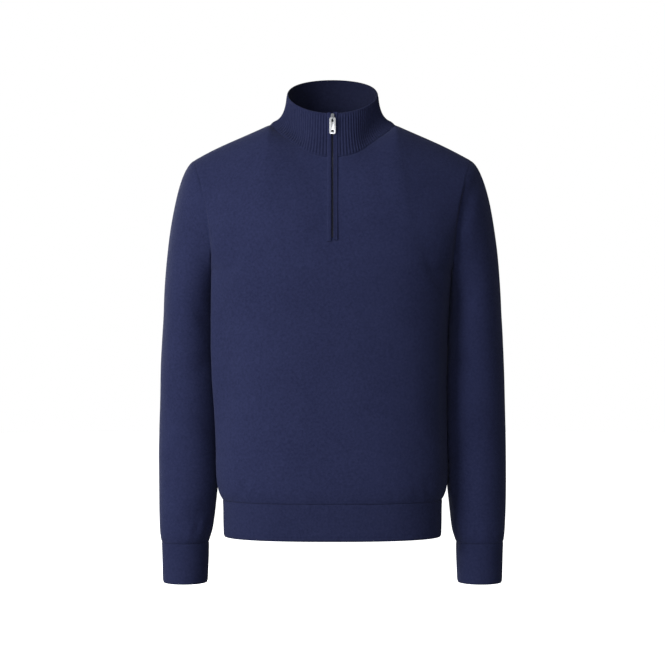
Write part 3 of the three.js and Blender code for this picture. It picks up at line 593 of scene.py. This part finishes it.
# The piece's own map: millimetres across and along the cloth
def knitMap(grid, startColumn=0):
    across = np.zeros(grid.shape[:2])
    across[:, 1:] = np.cumsum(np.linalg.norm(np.diff(grid, axis=1), axis=2), axis=1)
    across -= across[:, startColumn:startColumn + 1]
    along = np.zeros(grid.shape[:2])
    along[1:] = np.cumsum(np.linalg.norm(np.diff(grid, axis=0), axis=2), axis=0)
    return across, along


def steps(start, end, pitch, fineStart=(), fineEnd=()):
    way = math.copysign(1, end - start)
    first = start + way * (fineStart[-1] if fineStart else 0)
    last = end - way * (fineEnd[-1] if fineEnd else 0)
    count = max(1, round(abs(last - first) / pitch))
    values = [start] if fineStart else []
    values += [start + way * d for d in fineStart[:-1]]
    values += [lerp(first, last, k / count) for k in range(count + 1)]
    values += [end - way * d for d in reversed(fineEnd[:-1])]
    return values + ([end] if fineEnd else [])


def newPiece(name, bm, material):
    mesh = bpy.data.meshes.new(name)
    bm.to_mesh(mesh)
    bm.free()
    mesh.materials.append(material)
    piece = bpy.data.objects.new(name, mesh)
    bpy.context.scene.collection.objects.link(piece)
    return piece


# Fills a piece's open ends, turns its faces outwards and then hands each face to touch
def closeEnds(piece, touch=None):
    bm = bmesh.new()
    bm.from_mesh(piece.data)
    bmesh.ops.holes_fill(bm, edges=[e for e in bm.edges if e.is_boundary], sides=0)
    bmesh.ops.recalc_face_normals(bm, faces=bm.faces)
    if touch:
        for face in bm.faces:
            touch(face)
    bm.to_mesh(piece.data)
    bm.free()


# A shell on a grid of points: the grid is the outer face, and the wall grows inwards
def shell(name, grid, material, wall, closed=False, keep=None, startColumn=0, flip=False):
    if flip:
        grid = grid[:, ::-1]
    across, along = knitMap(grid, startColumn)
    rows, columns = grid.shape[:2]
    bm = bmesh.new()
    bmesh.ops.create_grid(bm, x_segments=columns - 1, y_segments=rows - 1, size=1)
    mapLayer = bm.loops.layers.uv.new("knit")
    place = {}
    for vert in bm.verts:
        c = round((vert.co.x + 1) / 2 * (columns - 1))
        r = round((vert.co.y + 1) / 2 * (rows - 1))
        place[vert] = (r, c)
    for vert, (r, c) in place.items():
        vert.co = Vector(grid[r, c]) * millimetre
    for face in bm.faces:
        face.smooth = True
        for loop in face.loops:
            r, c = place[loop.vert]
            loop[mapLayer].uv = (across[r, c], along[r, c])
    if keep:
        gone = [f for f in bm.faces if not keep(min(place[v] for v in f.verts))]
        bmesh.ops.delete(bm, geom=gone, context="FACES")
    if closed:
        bmesh.ops.remove_doubles(bm, verts=bm.verts, dist=1e-6)
    piece = newPiece(name, bm, material)
    if wall:
        thick = piece.modifiers.new("wall", "SOLIDIFY")
        thick.thickness = wall * millimetre
        thick.offset = -1
    cells = np.cross(np.diff(grid, axis=1)[:-1], np.diff(grid, axis=0)[:, :-1])
    area = float(np.linalg.norm(cells, axis=2).sum())
    wide, high = np.ptp(across, axis=1).max(), np.ptp(along, axis=0).max()
    print(f"{name}: {rows} x {columns} points, {area / 1e6:.4f} square metres, {wide:.0f} x {high:.0f} mm")
    return piece


def placePiece(piece, node, bodyName="garment"):
    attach(piece, bodyName)
    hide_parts(node)


def clothPiece(piece, node):
    placePiece(piece, node)


creaseForm = {"reach": 3, "ends": 0.12}  # half widths after which it has run out, and how soft its ends are


# How deep a crease is at a place: from its two ends, soft across and at both ends
def creaseDepth(crease, a, b):
    a0, b0, a1, b1, wide, deep = crease
    la, lb = a1 - a0, b1 - b0
    t = clamp(((a - a0) * la + (b - b0) * lb) / (la * la + lb * lb))
    off = math.hypot(a - a0 - la * t, b - b0 - lb * t) / wide
    if off > creaseForm["reach"]:
        return 0.0
    return deep * math.sin(math.pi * lerp(creaseForm["ends"], 1 - creaseForm["ends"], t)) * math.exp(-off * off)


def edgeFade(k, count, cells):
    return clamp(min(k, count - 1 - k) / cells)


# Soft unevenness of hanging cloth, the same each time
def drift(p, size, seedShift):
    return noise.noise(Vector((p[0] / size + seedShift, p[1] / size, p[2] / size)))


# Body panels

# Creases: both ends (x, z), half width, depth
panels = {
    "seamDip": 0.45, "seamReach": 1.5,
    "drift": 0.7, "driftSize": 70, "driftSeed": {"front": 3, "back": 11},
    "wall": 2, "pitch": 3.6, "upperLength": 205, "relaxRounds": 4, "spreadAt": -400,
    "creaseFade": 3, "driftFade": {"across": 6, "along": 4},
    "front": [
        (-186, -225, -120, -150, 20, 1.6), (188, -240, 125, -155, 20, 1.2),
        (178, -575, 120, -520, 18, 0.5), (-170, -580, -105, -535, 18, 0.5),
        (-180, -262, -138, -196, 9, 1.6), (182, -275, 142, -205, 9, 1.8),
        (-150, -598, -132, -566, 6, 1.3), (-128, -600, -116, -574, 5, 1),
        (160, -600, 146, -570, 6, 1.5), (142, -601, 131, -580, 5, 1.1), (98, -602, 92, -584, 5, 0.7),
        (-60, -602, -66, -580, 6, 0.6), (20, -603, 16, -588, 6, 0.5),
        (-172, -470, -150, -340, 16, 1.6), (172, -500, 156, -380, 16, 1.8),
        (-90, -120, -60, -84, 12, 1), (92, -118, 66, -86, 12, 1.1),
    ],
    "back": [
        (186, -230, 110, -150, 22, 4.5), (-186, -230, -105, -145, 22, 4),
        (-60, -560, 90, -545, 22, 3), (175, -570, 100, -500, 20, 3),
        (-160, -270, -118, -190, 10, 1.7), (166, -280, 128, -196, 10, 1.5),
        (-150, -600, -130, -560, 7, 1.5), (-96, -600, -90, -572, 6, 0.9), (148, -600, 136, -566, 7, 1.4),
        (70, -602, 64, -580, 6, 0.8), (-20, -603, -14, -584, 6, 0.6),
        (-80, -500, 40, -486, 16, 1.4), (-168, -460, -150, -330, 16, 1.5), (166, -450, 150, -330, 15, 1.6),
        (-40, -70, 46, -66, 14, 1.2),
    ],
    # How far the front's edges lie towards the viewer's left: height, left edge, right edge
    "lean": [
        (-606, 0, -1), (-560, -1.5, -4), (-510, -4, -4), (-462, -8, -4.5), (-412, -12, -4.5), (-363, -12.5, -4),
        (-313, -11, -3), (-264, -7, -1), (-214, -2, 0), (-160, 0, 0),
    ],
    "leanShare": 0.86, "leanWide": 0.13, "leanFade": 0.05,
    "frontSheet": {"flat": (0.52, 0.66), "area": 0.285, "restsOn": ["back_jersey", "collar_rib"]},
    "backSheet": {"flat": (0.535, 0.655), "area": 0.305, "restsOn": ["front_jersey", "collar_rib"]},
}
# Distances from the centre line, and ends as shares of the panel's upper part
zipPlan = {
    "slitHalf": 1.6, "bandMiddle": 5, "bandEdge": 8.6, "slitEnd": 0.308, "tapeEnd": 0.24, "centreShare": 0.03,
    "bandEnd": {"left": 0.283, "right": 0.293}, "firstShare": 0.034,
}
edgeSteps = (0.8, 1.8, 3.4)  # the first points in from a seam lie closer together


# Column shares that lie evenly along a level section
def evenShares(back, first, pitch, fineEnd):
    row = bodyRow(panels["spreadAt"])
    samples = np.linspace(first, 1, 400)
    turns = [180 - 90 * u if back else 90 * u for u in samples]
    line = np.array([sectionPoint(row, turn) for turn in turns])
    length = np.concatenate([[0], np.cumsum(np.linalg.norm(np.diff(line, axis=0), axis=1))])
    return [float(np.interp(d, length, samples)) for d in steps(0, length[-1], pitch, (), fineEnd)]


def panelRows():
    pitch, length = panels["pitch"], panels["upperLength"]
    low = [("z", z) for z in steps(body["hemTopZ"], body["underarmZ"], pitch, edgeSteps, ())]
    shares = steps(0, 1, pitch / length, (), tuple(d / length for d in edgeSteps))[1:]
    nearest = min(range(len(shares)), key=lambda k: abs(shares[k] - zipPlan["slitEnd"]))
    shares[nearest] = zipPlan["slitEnd"]
    return low + [("s", s) for s in shares]


def panelGrid(back):
    rows = panelRows()
    if back:
        half = evenShares(True, 0, panels["pitch"], edgeSteps)
        columns = [("u", u) for u in reversed(half)] + [("u", -u) for u in half[1:]]
    else:
        half = evenShares(False, zipPlan["firstShare"], panels["pitch"], edgeSteps)
        byZip = [zipPlan["slitHalf"], zipPlan["bandMiddle"], zipPlan["bandEdge"]]
        centre = [-x for x in reversed(byZip)] + byZip
        columns = [("u", -u) for u in reversed(half)] + [("x", x) for x in centre] + [("u", u) for u in half]

    def at(row, u):
        kind, value = row
        if kind == "z":
            return sectionPoint(bodyRow(value), 180 - 90 * u if back else 90 * u)
        return upperPoint(u, value, back)

    def place(row, column):
        kind, value = column
        if kind == "u":
            return at(row, value)
        p = at(row, math.copysign(zipPlan["centreShare"], value))
        p[0] = value
        return p

    return np.array([[place(row, column) for column in columns] for row in rows]), rows, columns


def dressPanel(grid, creases, seedShift):
    grid = relax(grid, panels["relaxRounds"])
    normals = gridNormals(grid, False)
    rows, columns = grid.shape[:2]
    across, along = knitMap(grid)
    made = grid.copy()
    for r in range(rows):
        for c in range(columns):
            p = grid[r, c]
            deep = sum(creaseDepth(crease, p[0], p[2]) for crease in creases)
            deep *= edgeFade(r, rows, panels["creaseFade"]) * edgeFade(c, columns, panels["creaseFade"])
            fade = edgeFade(c, columns, panels["driftFade"]["across"]) * edgeFade(r, rows, panels["driftFade"]["along"])
            deep += panels["drift"] * drift(p, panels["driftSize"], seedShift) * fade
            edge = min(
                across[r, c], across[r, -1] - across[r, c],
                along[r, c], along[-1, c] - along[r, c],
            )
            deep += panels["seamDip"] * math.exp(-(edge / panels["seamReach"]) ** 2)
            made[r, c] = p - normals[r, c] * deep
    return made


# The front's edges drape over the sleeve on one side and tuck behind it on the other
def leanEdges(grid, columns):
    table = sorted(panels["lean"])
    heights = [row[0] for row in table]
    for c, (kind, value) in enumerate(columns):
        if kind != "u":
            continue
        share = math.exp(-((abs(value) - panels["leanShare"]) / panels["leanWide"]) ** 2)
        share *= clamp((1 - abs(value)) / panels["leanFade"])
        for r in range(grid.shape[0]):
            lean = np.interp(grid[r, c, 2], heights, [row[1 if value < 0 else 2] for row in table])
            grid[r, c, 0] += lean * share
    return grid


frontPoints, frontRows, frontColumns = panelGrid(False)
slitColumn = next(k for k, column in enumerate(frontColumns) if column == ("x", -zipPlan["slitHalf"]))
slitRow = next(k for k, row in enumerate(frontRows) if row == ("s", zipPlan["slitEnd"]))
frontPoints = leanEdges(dressPanel(frontPoints, panels["front"], panels["driftSeed"]["front"]), frontColumns)
frontPiece = shell(
    "front_jersey", frontPoints, jerseyKnit, panels["wall"], startColumn=slitColumn,
    keep=lambda cell: not (cell[0] >= slitRow and cell[1] == slitColumn),
)
clothPiece(frontPiece, "front")
backPoints = dressPanel(panelGrid(True)[0], panels["back"], panels["driftSeed"]["back"])
backPiece = shell("back_jersey", backPoints, jerseyKnit, panels["wall"], startColumn=backPoints.shape[1] // 2)
clothPiece(backPiece, "back")
print("body panels made")


# Sleeves

# Creases: both ends (turn from outside to the front in degrees, z), half width, depth
sleeveLook = {
    "columns": 96, "millimetresPerDegree": 0.9, "pitch": 3.4, "capLength": 170, "relaxRounds": 6,
    "driftSeed": {"right": 5, "left": 8}, "creaseFade": 4, "driftFade": 5,
    "both": [
        (84, -120, 128, -215, 22, 2), (95, -400, 165, -370, 20, 3), (60, -650, 150, -622, 16, 2.5),
        (235, -150, 215, -240, 22, 5), (215, -390, 290, -420, 22, 3),
    ],
    "right": [
        (28, -80, 66, -112, 9, 2.6), (62, -106, 104, -166, 10, 5.5), (100, -160, 142, -222, 11, 5.5),
        (120, -668, 128, -640, 7, 1.4), (150, -668, 150, -645, 7, 1.6), (95, -672, 98, -650, 6, 0.9),
        (60, -672, 66, -652, 6, 0.8), (175, -560, 120, -500, 14, 1.6), (30, -480, 96, -452, 16, 1.4),
        (200, -668, 204, -644, 7, 1.2), (250, -670, 246, -648, 7, 1), (310, -670, 306, -650, 6, 0.9),
        (250, -520, 320, -490, 16, 1.6), (100, -260, 150, -330, 12, 1.6), (240, -300, 300, -330, 14, 1.4),
    ],
    "left": [
        (112, -668, 122, -638, 7, 1.5), (144, -668, 146, -642, 7, 1.3), (86, -672, 92, -650, 6, 1),
        (52, -672, 56, -654, 6, 0.7), (170, -520, 112, -470, 14, 1.7), (24, -560, 92, -530, 16, 1.4),
        (208, -668, 210, -646, 7, 1.3), (262, -670, 256, -646, 7, 1.1), (318, -670, 312, -652, 6, 0.8),
        (236, -480, 312, -456, 16, 1.5), (96, -280, 146, -344, 12, 1.8), (232, -330, 296, -352, 14, 1.3),
    ],
    "sheet": {"flat": (0.4, 0.64), "area": 0.177, "restsOn": ["front_jersey", "back_jersey"]},
}


def sleevePoints(creases, seedShift):
    turns = [360 * k / sleeveLook["columns"] for k in range(sleeveLook["columns"])]
    pitch, capLength = sleeveLook["pitch"], sleeveLook["capLength"]
    caps = steps(0, 1, pitch / capLength, tuple(d / capLength for d in edgeSteps), ())
    rings = steps(sleeve["rows"][0]["z"], sleeve["rows"][-1]["z"], pitch, (), edgeSteps)[1:]
    grid = [[capPoint(turn, t) for turn in turns] for t in caps]
    grid += [[sleeveRingPoint(sleeveRow(z), turn) for turn in turns] for z in rings]
    grid = np.array(grid)
    grid = np.concatenate([grid, grid[:, :1]], 1)
    grid = relax(grid, sleeveLook["relaxRounds"], closed=True)
    normals = gridNormals(grid, True)
    along = knitMap(grid)[1]
    made = grid.copy()
    rows = grid.shape[0]
    perDegree = sleeveLook["millimetresPerDegree"]
    scaled = [(a * perDegree, b, a1 * perDegree, b1, wide, deep) for a, b, a1, b1, wide, deep in creases]
    for r in range(rows):
        for c, turn in enumerate(turns + [0]):
            p = grid[r, c]
            deep = sum(creaseDepth(crease, turn * perDegree, p[2]) for crease in scaled)
            deep *= edgeFade(r, rows, sleeveLook["creaseFade"])
            fade = edgeFade(r, rows, sleeveLook["driftFade"])
            deep += panels["drift"] * drift(p, panels["driftSize"], seedShift) * fade
            edge = min(along[r, c], along[-1, c] - along[r, c])
            deep += panels["seamDip"] * math.exp(-(edge / panels["seamReach"]) ** 2)
            made[r, c] = p - normals[r, c] * deep
    return made


for side in ("right", "left"):
    points = sleevePoints(sleeveLook["both"] + sleeveLook[side], sleeveLook["driftSeed"][side])
    if side == "left":
        points[:, :, 0] *= -1
    piece = shell(f"sleeve_{side}_jersey", points, jerseyKnit, sleeve["wall"], closed=True, flip=side == "left")
    clothPiece(piece, f"sleeve_{side}")
print("sleeves made")


# Hem and cuffs: fine rib tubes with a soft lower edge

ribTubes = {
    "perRib": 4, "edgeTurn": 1.1, "edgeReach": 2.2, "seamFade": 3, "edgeFade": 2,
    "pitch": 5, "edgeSteps": (0.7, 1.5, 2.6, 4), "seamSteps": (0.8, 1.8, 3.2),
    "hemSheet": {"flat": (0.96, 0.061), "area": 0.058, "restsOn": ["front_jersey", "back_jersey"]},
    "cuffSheet": {"flat": (0.243, 0.067), "area": 0.0157},
}


def ribbedTube(pointAt, heights, ribs, rise):
    count = ribs * ribTubes["perRib"]
    samples = [pointAt(heights[0], 360 * k / 720) for k in range(721)]
    length = np.concatenate([[0], np.cumsum(np.linalg.norm(np.diff(np.array(samples), axis=0), axis=1))])
    turns = [float(np.interp(length[-1] * k / count, length, np.linspace(0, 360, 721))) for k in range(count)]
    grid = np.array([[pointAt(z, turn) for turn in turns] for z in heights])
    grid = np.concatenate([grid, grid[:, :1]], 1)
    normals = gridNormals(grid, True)
    along = knitMap(grid)[1]
    made = grid.copy()
    for r in range(grid.shape[0]):
        for c in range(count + 1):
            edge = along[-1, c] - along[r, c]  # the seam end is the last row
            free = along[r, c]
            wave = (1 + math.cos(2 * math.pi * c / ribTubes["perRib"])) / 2
            fade = clamp(edge / ribTubes["seamFade"]) * clamp(free / ribTubes["edgeFade"])
            deep = rise * (1 - wave) * fade
            deep += panels["seamDip"] * math.exp(-(edge / panels["seamReach"]) ** 2)
            deep += ribTubes["edgeTurn"] * math.exp(-(free / ribTubes["edgeReach"]) ** 2)
            made[r, c] = grid[r, c] - normals[r, c] * deep
    return made


# Heights from the free edge up to the seam
def tubeHeights(rows):
    return steps(rows[-1]["z"], rows[0]["z"], ribTubes["pitch"], ribTubes["edgeSteps"], ribTubes["seamSteps"])


hemPoints = ribbedTube(
    lambda z, turn: sectionPoint(hemRow(z), turn), tubeHeights(hem["rows"]), hem["ribs"], hem["rise"],
)
hemPiece = shell("hem_fine_rib", hemPoints, fineRibKnit, hem["wall"], closed=True)
clothPiece(hemPiece, "hem_rib")

for side in ("right", "left"):
    points = ribbedTube(
        lambda z, turn: sleeveRingPoint(cuffRow(z), -turn), tubeHeights(cuff["rows"]), cuff["ribs"], cuff["rise"],
    )
    if side == "left":
        points[:, :, 0] *= -1
    piece = shell(f"cuff_{side}_fine_rib", points, fineRibKnit, cuff["wall"], closed=True, flip=side == "left")
    clothPiece(piece, f"cuff_{side}")
print("hem and cuffs made")


# Collar: bold vertical ribs up to a narrow turned edge

collar = {
    "wall": 2, "ribs": 100, "perRib": 8, "rise": 1.1, "seamFade": 3, "edgeFade": 4.5, "edgeRise": 0.5,
    "edgeFrom": 1.5, "edgePlace": 2, "edgeWide": 1.6, "rimTurn": 0.6, "rimReach": 0.8, "ribRound": 0.8,
    "length": 76, "rows": 22, "lowSteps": (0.012, 0.026, 0.05), "highSteps": (0.012, 0.026, 0.05, 0.08),
    "innerTurn": -0.3,  # faces turned inwards by more than this are the plain inside, and take the darker knit that is painted shade inside the collar
    "sheet": {"flat": (0.57, 0.076), "area": 0.0345, "restsOn": ["front_jersey", "back_jersey"]},
}


def collarTurnRange(t):
    low, high = 1.0, 20.0
    for _ in range(30):
        middle = (low + high) / 2
        if collarPoint(middle, t)[0] < zipPlan["bandEdge"]:
            low = middle
        else:
            high = middle
    return low


def collarPoints():
    heights = steps(0, 1, 1 / collar["rows"], collar["lowSteps"], collar["highSteps"])
    count = collar["ribs"] * collar["perRib"]
    rows = []
    for t in heights:
        start = collarTurnRange(t)
        samples = np.linspace(start, 360 - start, 721)
        line = np.array([collarPoint(turn, t) for turn in samples])
        length = np.concatenate([[0], np.cumsum(np.linalg.norm(np.diff(line, axis=0), axis=1))])
        turns = np.interp(np.linspace(0, length[-1], count + 1), length, samples)
        row = [collarPoint(turn, t) for turn in turns]
        for x in (zipPlan["bandMiddle"], zipPlan["slitHalf"]):
            right, left = collarPoint(1, t), collarPoint(359, t)
            right[0], left[0] = x, -x
            row.insert(0, right)
            row.append(left)
        rows.append(row)
    return np.array(rows)


def ribCollar(grid):
    normals = gridNormals(grid, False)
    along = knitMap(grid)[1]
    made = grid.copy()
    flat = 2  # columns under the zip bands at either end
    for r in range(grid.shape[0]):
        for c in range(grid.shape[1]):
            low, high = along[r, c], along[-1, c] - along[r, c]
            lift = 0.0
            if flat <= c < grid.shape[1] - flat:
                wave = (1 - math.cos(2 * math.pi * (c - flat) / collar["perRib"])) / 2
                fade = clamp(low / collar["seamFade"]) * clamp((high - collar["edgeFrom"]) / collar["edgeFade"])
                lift = collar["rise"] * wave ** collar["ribRound"] * fade
                lift += collar["edgeRise"] * math.exp(-((high - collar["edgePlace"]) / collar["edgeWide"]) ** 2)
            lift -= panels["seamDip"] * math.exp(-(low / panels["seamReach"]) ** 2)
            lift -= collar["rimTurn"] * math.exp(-(high / collar["rimReach"]) ** 2)
            made[r, c] = grid[r, c] + normals[r, c] * lift
    return made


# Ribs outside and plain inside: the grid runs up the outer face, over the rim and down the inner face
def addCollar():
    base = collarPoints()
    outer = ribCollar(base)
    plain = base - gridNormals(base, False) * collar["wall"]
    plain[-1] = (plain[-1] + plain[-2]) / 2
    piece = shell("collar_rib", np.concatenate([outer, plain[::-1], outer[:1]]), boldRibKnit, 0, closed=True)
    # The inside faces take a darker copy of the knit: painted shade inside the collar
    piece.data.materials.append(paintedShadeCollarInsideKnit)
    middle = Vector(base.mean(axis=(0, 1))) * millimetre

    def chooseKnitOrPaintedShade(face):
        outwards = (face.calc_center_median() - middle) * Vector((1, 1, 0))
        face.material_index = int(face.normal.dot(outwards.normalized()) < collar["innerTurn"])

    closeEnds(piece, chooseKnitOrPaintedShade)
    clothPiece(piece, "collar")


addCollar()
print("collar made")


# Zip: bands, tape, teeth, slider and pull

# Cross sections from the slit outwards: distance from the centre line, height over the cloth
zipBands = {
    "left": [
        (1.7, 0.25), (1.5, 0.9), (2.0, 1.5), (3.4, 1.75), (5.4, 1.7), (7.4, 1.45), (8.4, 0.9), (8.6, 0.3),
        (6.5, 0.2), (4, 0.2),
    ],
    "right": [
        (1.7, 0.25), (1.5, 0.9), (1.9, 1.5), (2.9, 1.75), (3.8, 1.5), (4.3, 1.05), (4.9, 1.15), (6.4, 1.3),
        (7.8, 1.15), (8.5, 0.7), (8.6, 0.3), (6.5, 0.2), (4, 0.2),
    ],
    "topRise": {"left": 0.2, "right": 1.2},
    "sheet": {"flat": (0.01, 0.222), "area": 0.0022, "restsOn": ["front_jersey", "collar_rib"]},
}
zipTape = {
    "columns": (-8.6, -5.5, -2.4, 0, 2.4, 5.5, 8.6), "depth": 2.35, "wall": 0.8,
    "sheet": {"flat": (0.0172, 0.23), "area": 0.0039, "restsOn": ["front_jersey", "collar_rib"]},
}
zipLineRounds = 6  # smoothing of the line up the centre
chain = {"pitch": 1.45, "across": 0.95, "along": 0.5, "thick": 0.55, "depth": 0.9, "offCentre": 0.55, "start": 0.01}


# The line up the centre front, over the cloth's face, from a share of the panel to the rim
def zipLine(start, pitch=2.0):
    shares = steps(start, 1, pitch / panels["upperLength"])
    line = []
    for s in shares:
        p = upperPoint(zipPlan["centreShare"], s, False)
        p[0] = 0
        line.append(p)
    for t in steps(0, 1, pitch / collar["length"])[1:]:
        p = collarPoint(1, t)
        p[0] = 0
        line.append(p)
    line = np.array(line)
    for _ in range(zipLineRounds):
        line[1:-1] = (line[:-2] + 2 * line[1:-1] + line[2:]) / 4
    ways = np.gradient(line, axis=0)
    ways /= np.linalg.norm(ways, axis=1, keepdims=True)
    normals = np.cross(np.tile((1.0, 0, 0), (len(ways), 1)), ways)
    return line, ways, normals


def addBand(side):
    line, ways, normals = zipLine(zipPlan["bandEnd"][side])
    line = np.vstack([line, line[-1] + ways[-1] * zipBands["topRise"][side]])
    normals = np.vstack([normals, normals[-1]])
    sign = 1 if side == "right" else -1
    profile = zipBands[side]
    ring = profile + profile[:1]
    grid = np.array([[p + point(sign * x, 0, 0) + n * h for x, h in ring] for p, n in zip(line, normals)])
    piece = shell(f"zip_band_{side}_knit", grid, fineRibKnit, 0, closed=True, flip=side == "right")
    closeEnds(piece)
    clothPiece(piece, f"zip_band_{side}")


for side in ("right", "left"):
    addBand(side)
print("zip bands made")


def addTape():
    line, ways, normals = zipLine(zipPlan["tapeEnd"])
    grid = np.array([
        [p + point(x, 0, 0) - n * zipTape["depth"] for x in zipTape["columns"]] for p, n in zip(line, normals)
    ])
    piece = shell("zip_tape_weave", grid, zipTapeWeave, zipTape["wall"])
    clothPiece(piece, "zip_tape")


def addChain():
    line, ways, normals = zipLine(zipPlan["slitEnd"] + chain["start"], pitch=chain["pitch"] / 2)
    bm = bmesh.new()
    for k in range(1, len(line) - 1):
        sign = 1 if k % 2 else -1
        middle = line[k] + point(sign * chain["offCentre"], 0, 0) - normals[k] * chain["depth"]
        turn = Matrix((
            (1, 0, 0), (0, normals[k][1], ways[k][1]), (0, normals[k][2], ways[k][2]),
        )).to_4x4()
        size = Matrix.Diagonal((chain["across"], chain["thick"], chain["along"], 1))
        place = Matrix.Translation(Vector(middle) * millimetre) @ turn @ Matrix.Scale(millimetre, 4) @ size
        bmesh.ops.create_uvsphere(bm, u_segments=6, v_segments=4, radius=1, matrix=place)
    bmesh.ops.recalc_face_normals(bm, faces=bm.faces)
    for face in bm.faces:
        face.smooth = True
    placePiece(newPiece("zip_teeth", bm, zipCoilNylon), "zip_chain")


metal = {"sliderEdge": 0.3, "pullEdge": 0.35, "edgeSteps": 3, "flatDegrees": 1, "sharpDegrees": 40, "weld": 2e-6}


# A metal piece keeps its solid's form, with its edges rounded off
def addMetal(node, name, bodyName, edge, material):
    bm = bmesh.new()
    bm.from_mesh(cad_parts[node].data)
    bmesh.ops.remove_doubles(bm, verts=bm.verts, dist=metal["weld"])
    bmesh.ops.dissolve_limit(bm, angle_limit=math.radians(metal["flatDegrees"]), verts=bm.verts, edges=bm.edges)
    sharpest = math.radians(metal["sharpDegrees"])
    sharp = [e for e in bm.edges if len(e.link_faces) == 2 and e.calc_face_angle() > sharpest]
    bmesh.ops.bevel(
        bm, geom=sharp, offset=edge * millimetre, segments=metal["edgeSteps"], profile=0.5, affect="EDGES",
        material=-1, clamp_overlap=True,
    )
    for face in bm.faces:
        face.smooth = True
    placePiece(newPiece(name, bm, material), node, bodyName)


addTape()
addChain()
addMetal("zip_slider", "slider_steel", "garment", metal["sliderEdge"], sliderSteel)
addMetal("pull_tab", "pull_tab_steel", "pull", metal["pullEdge"], pullSteel)
print("zip made")
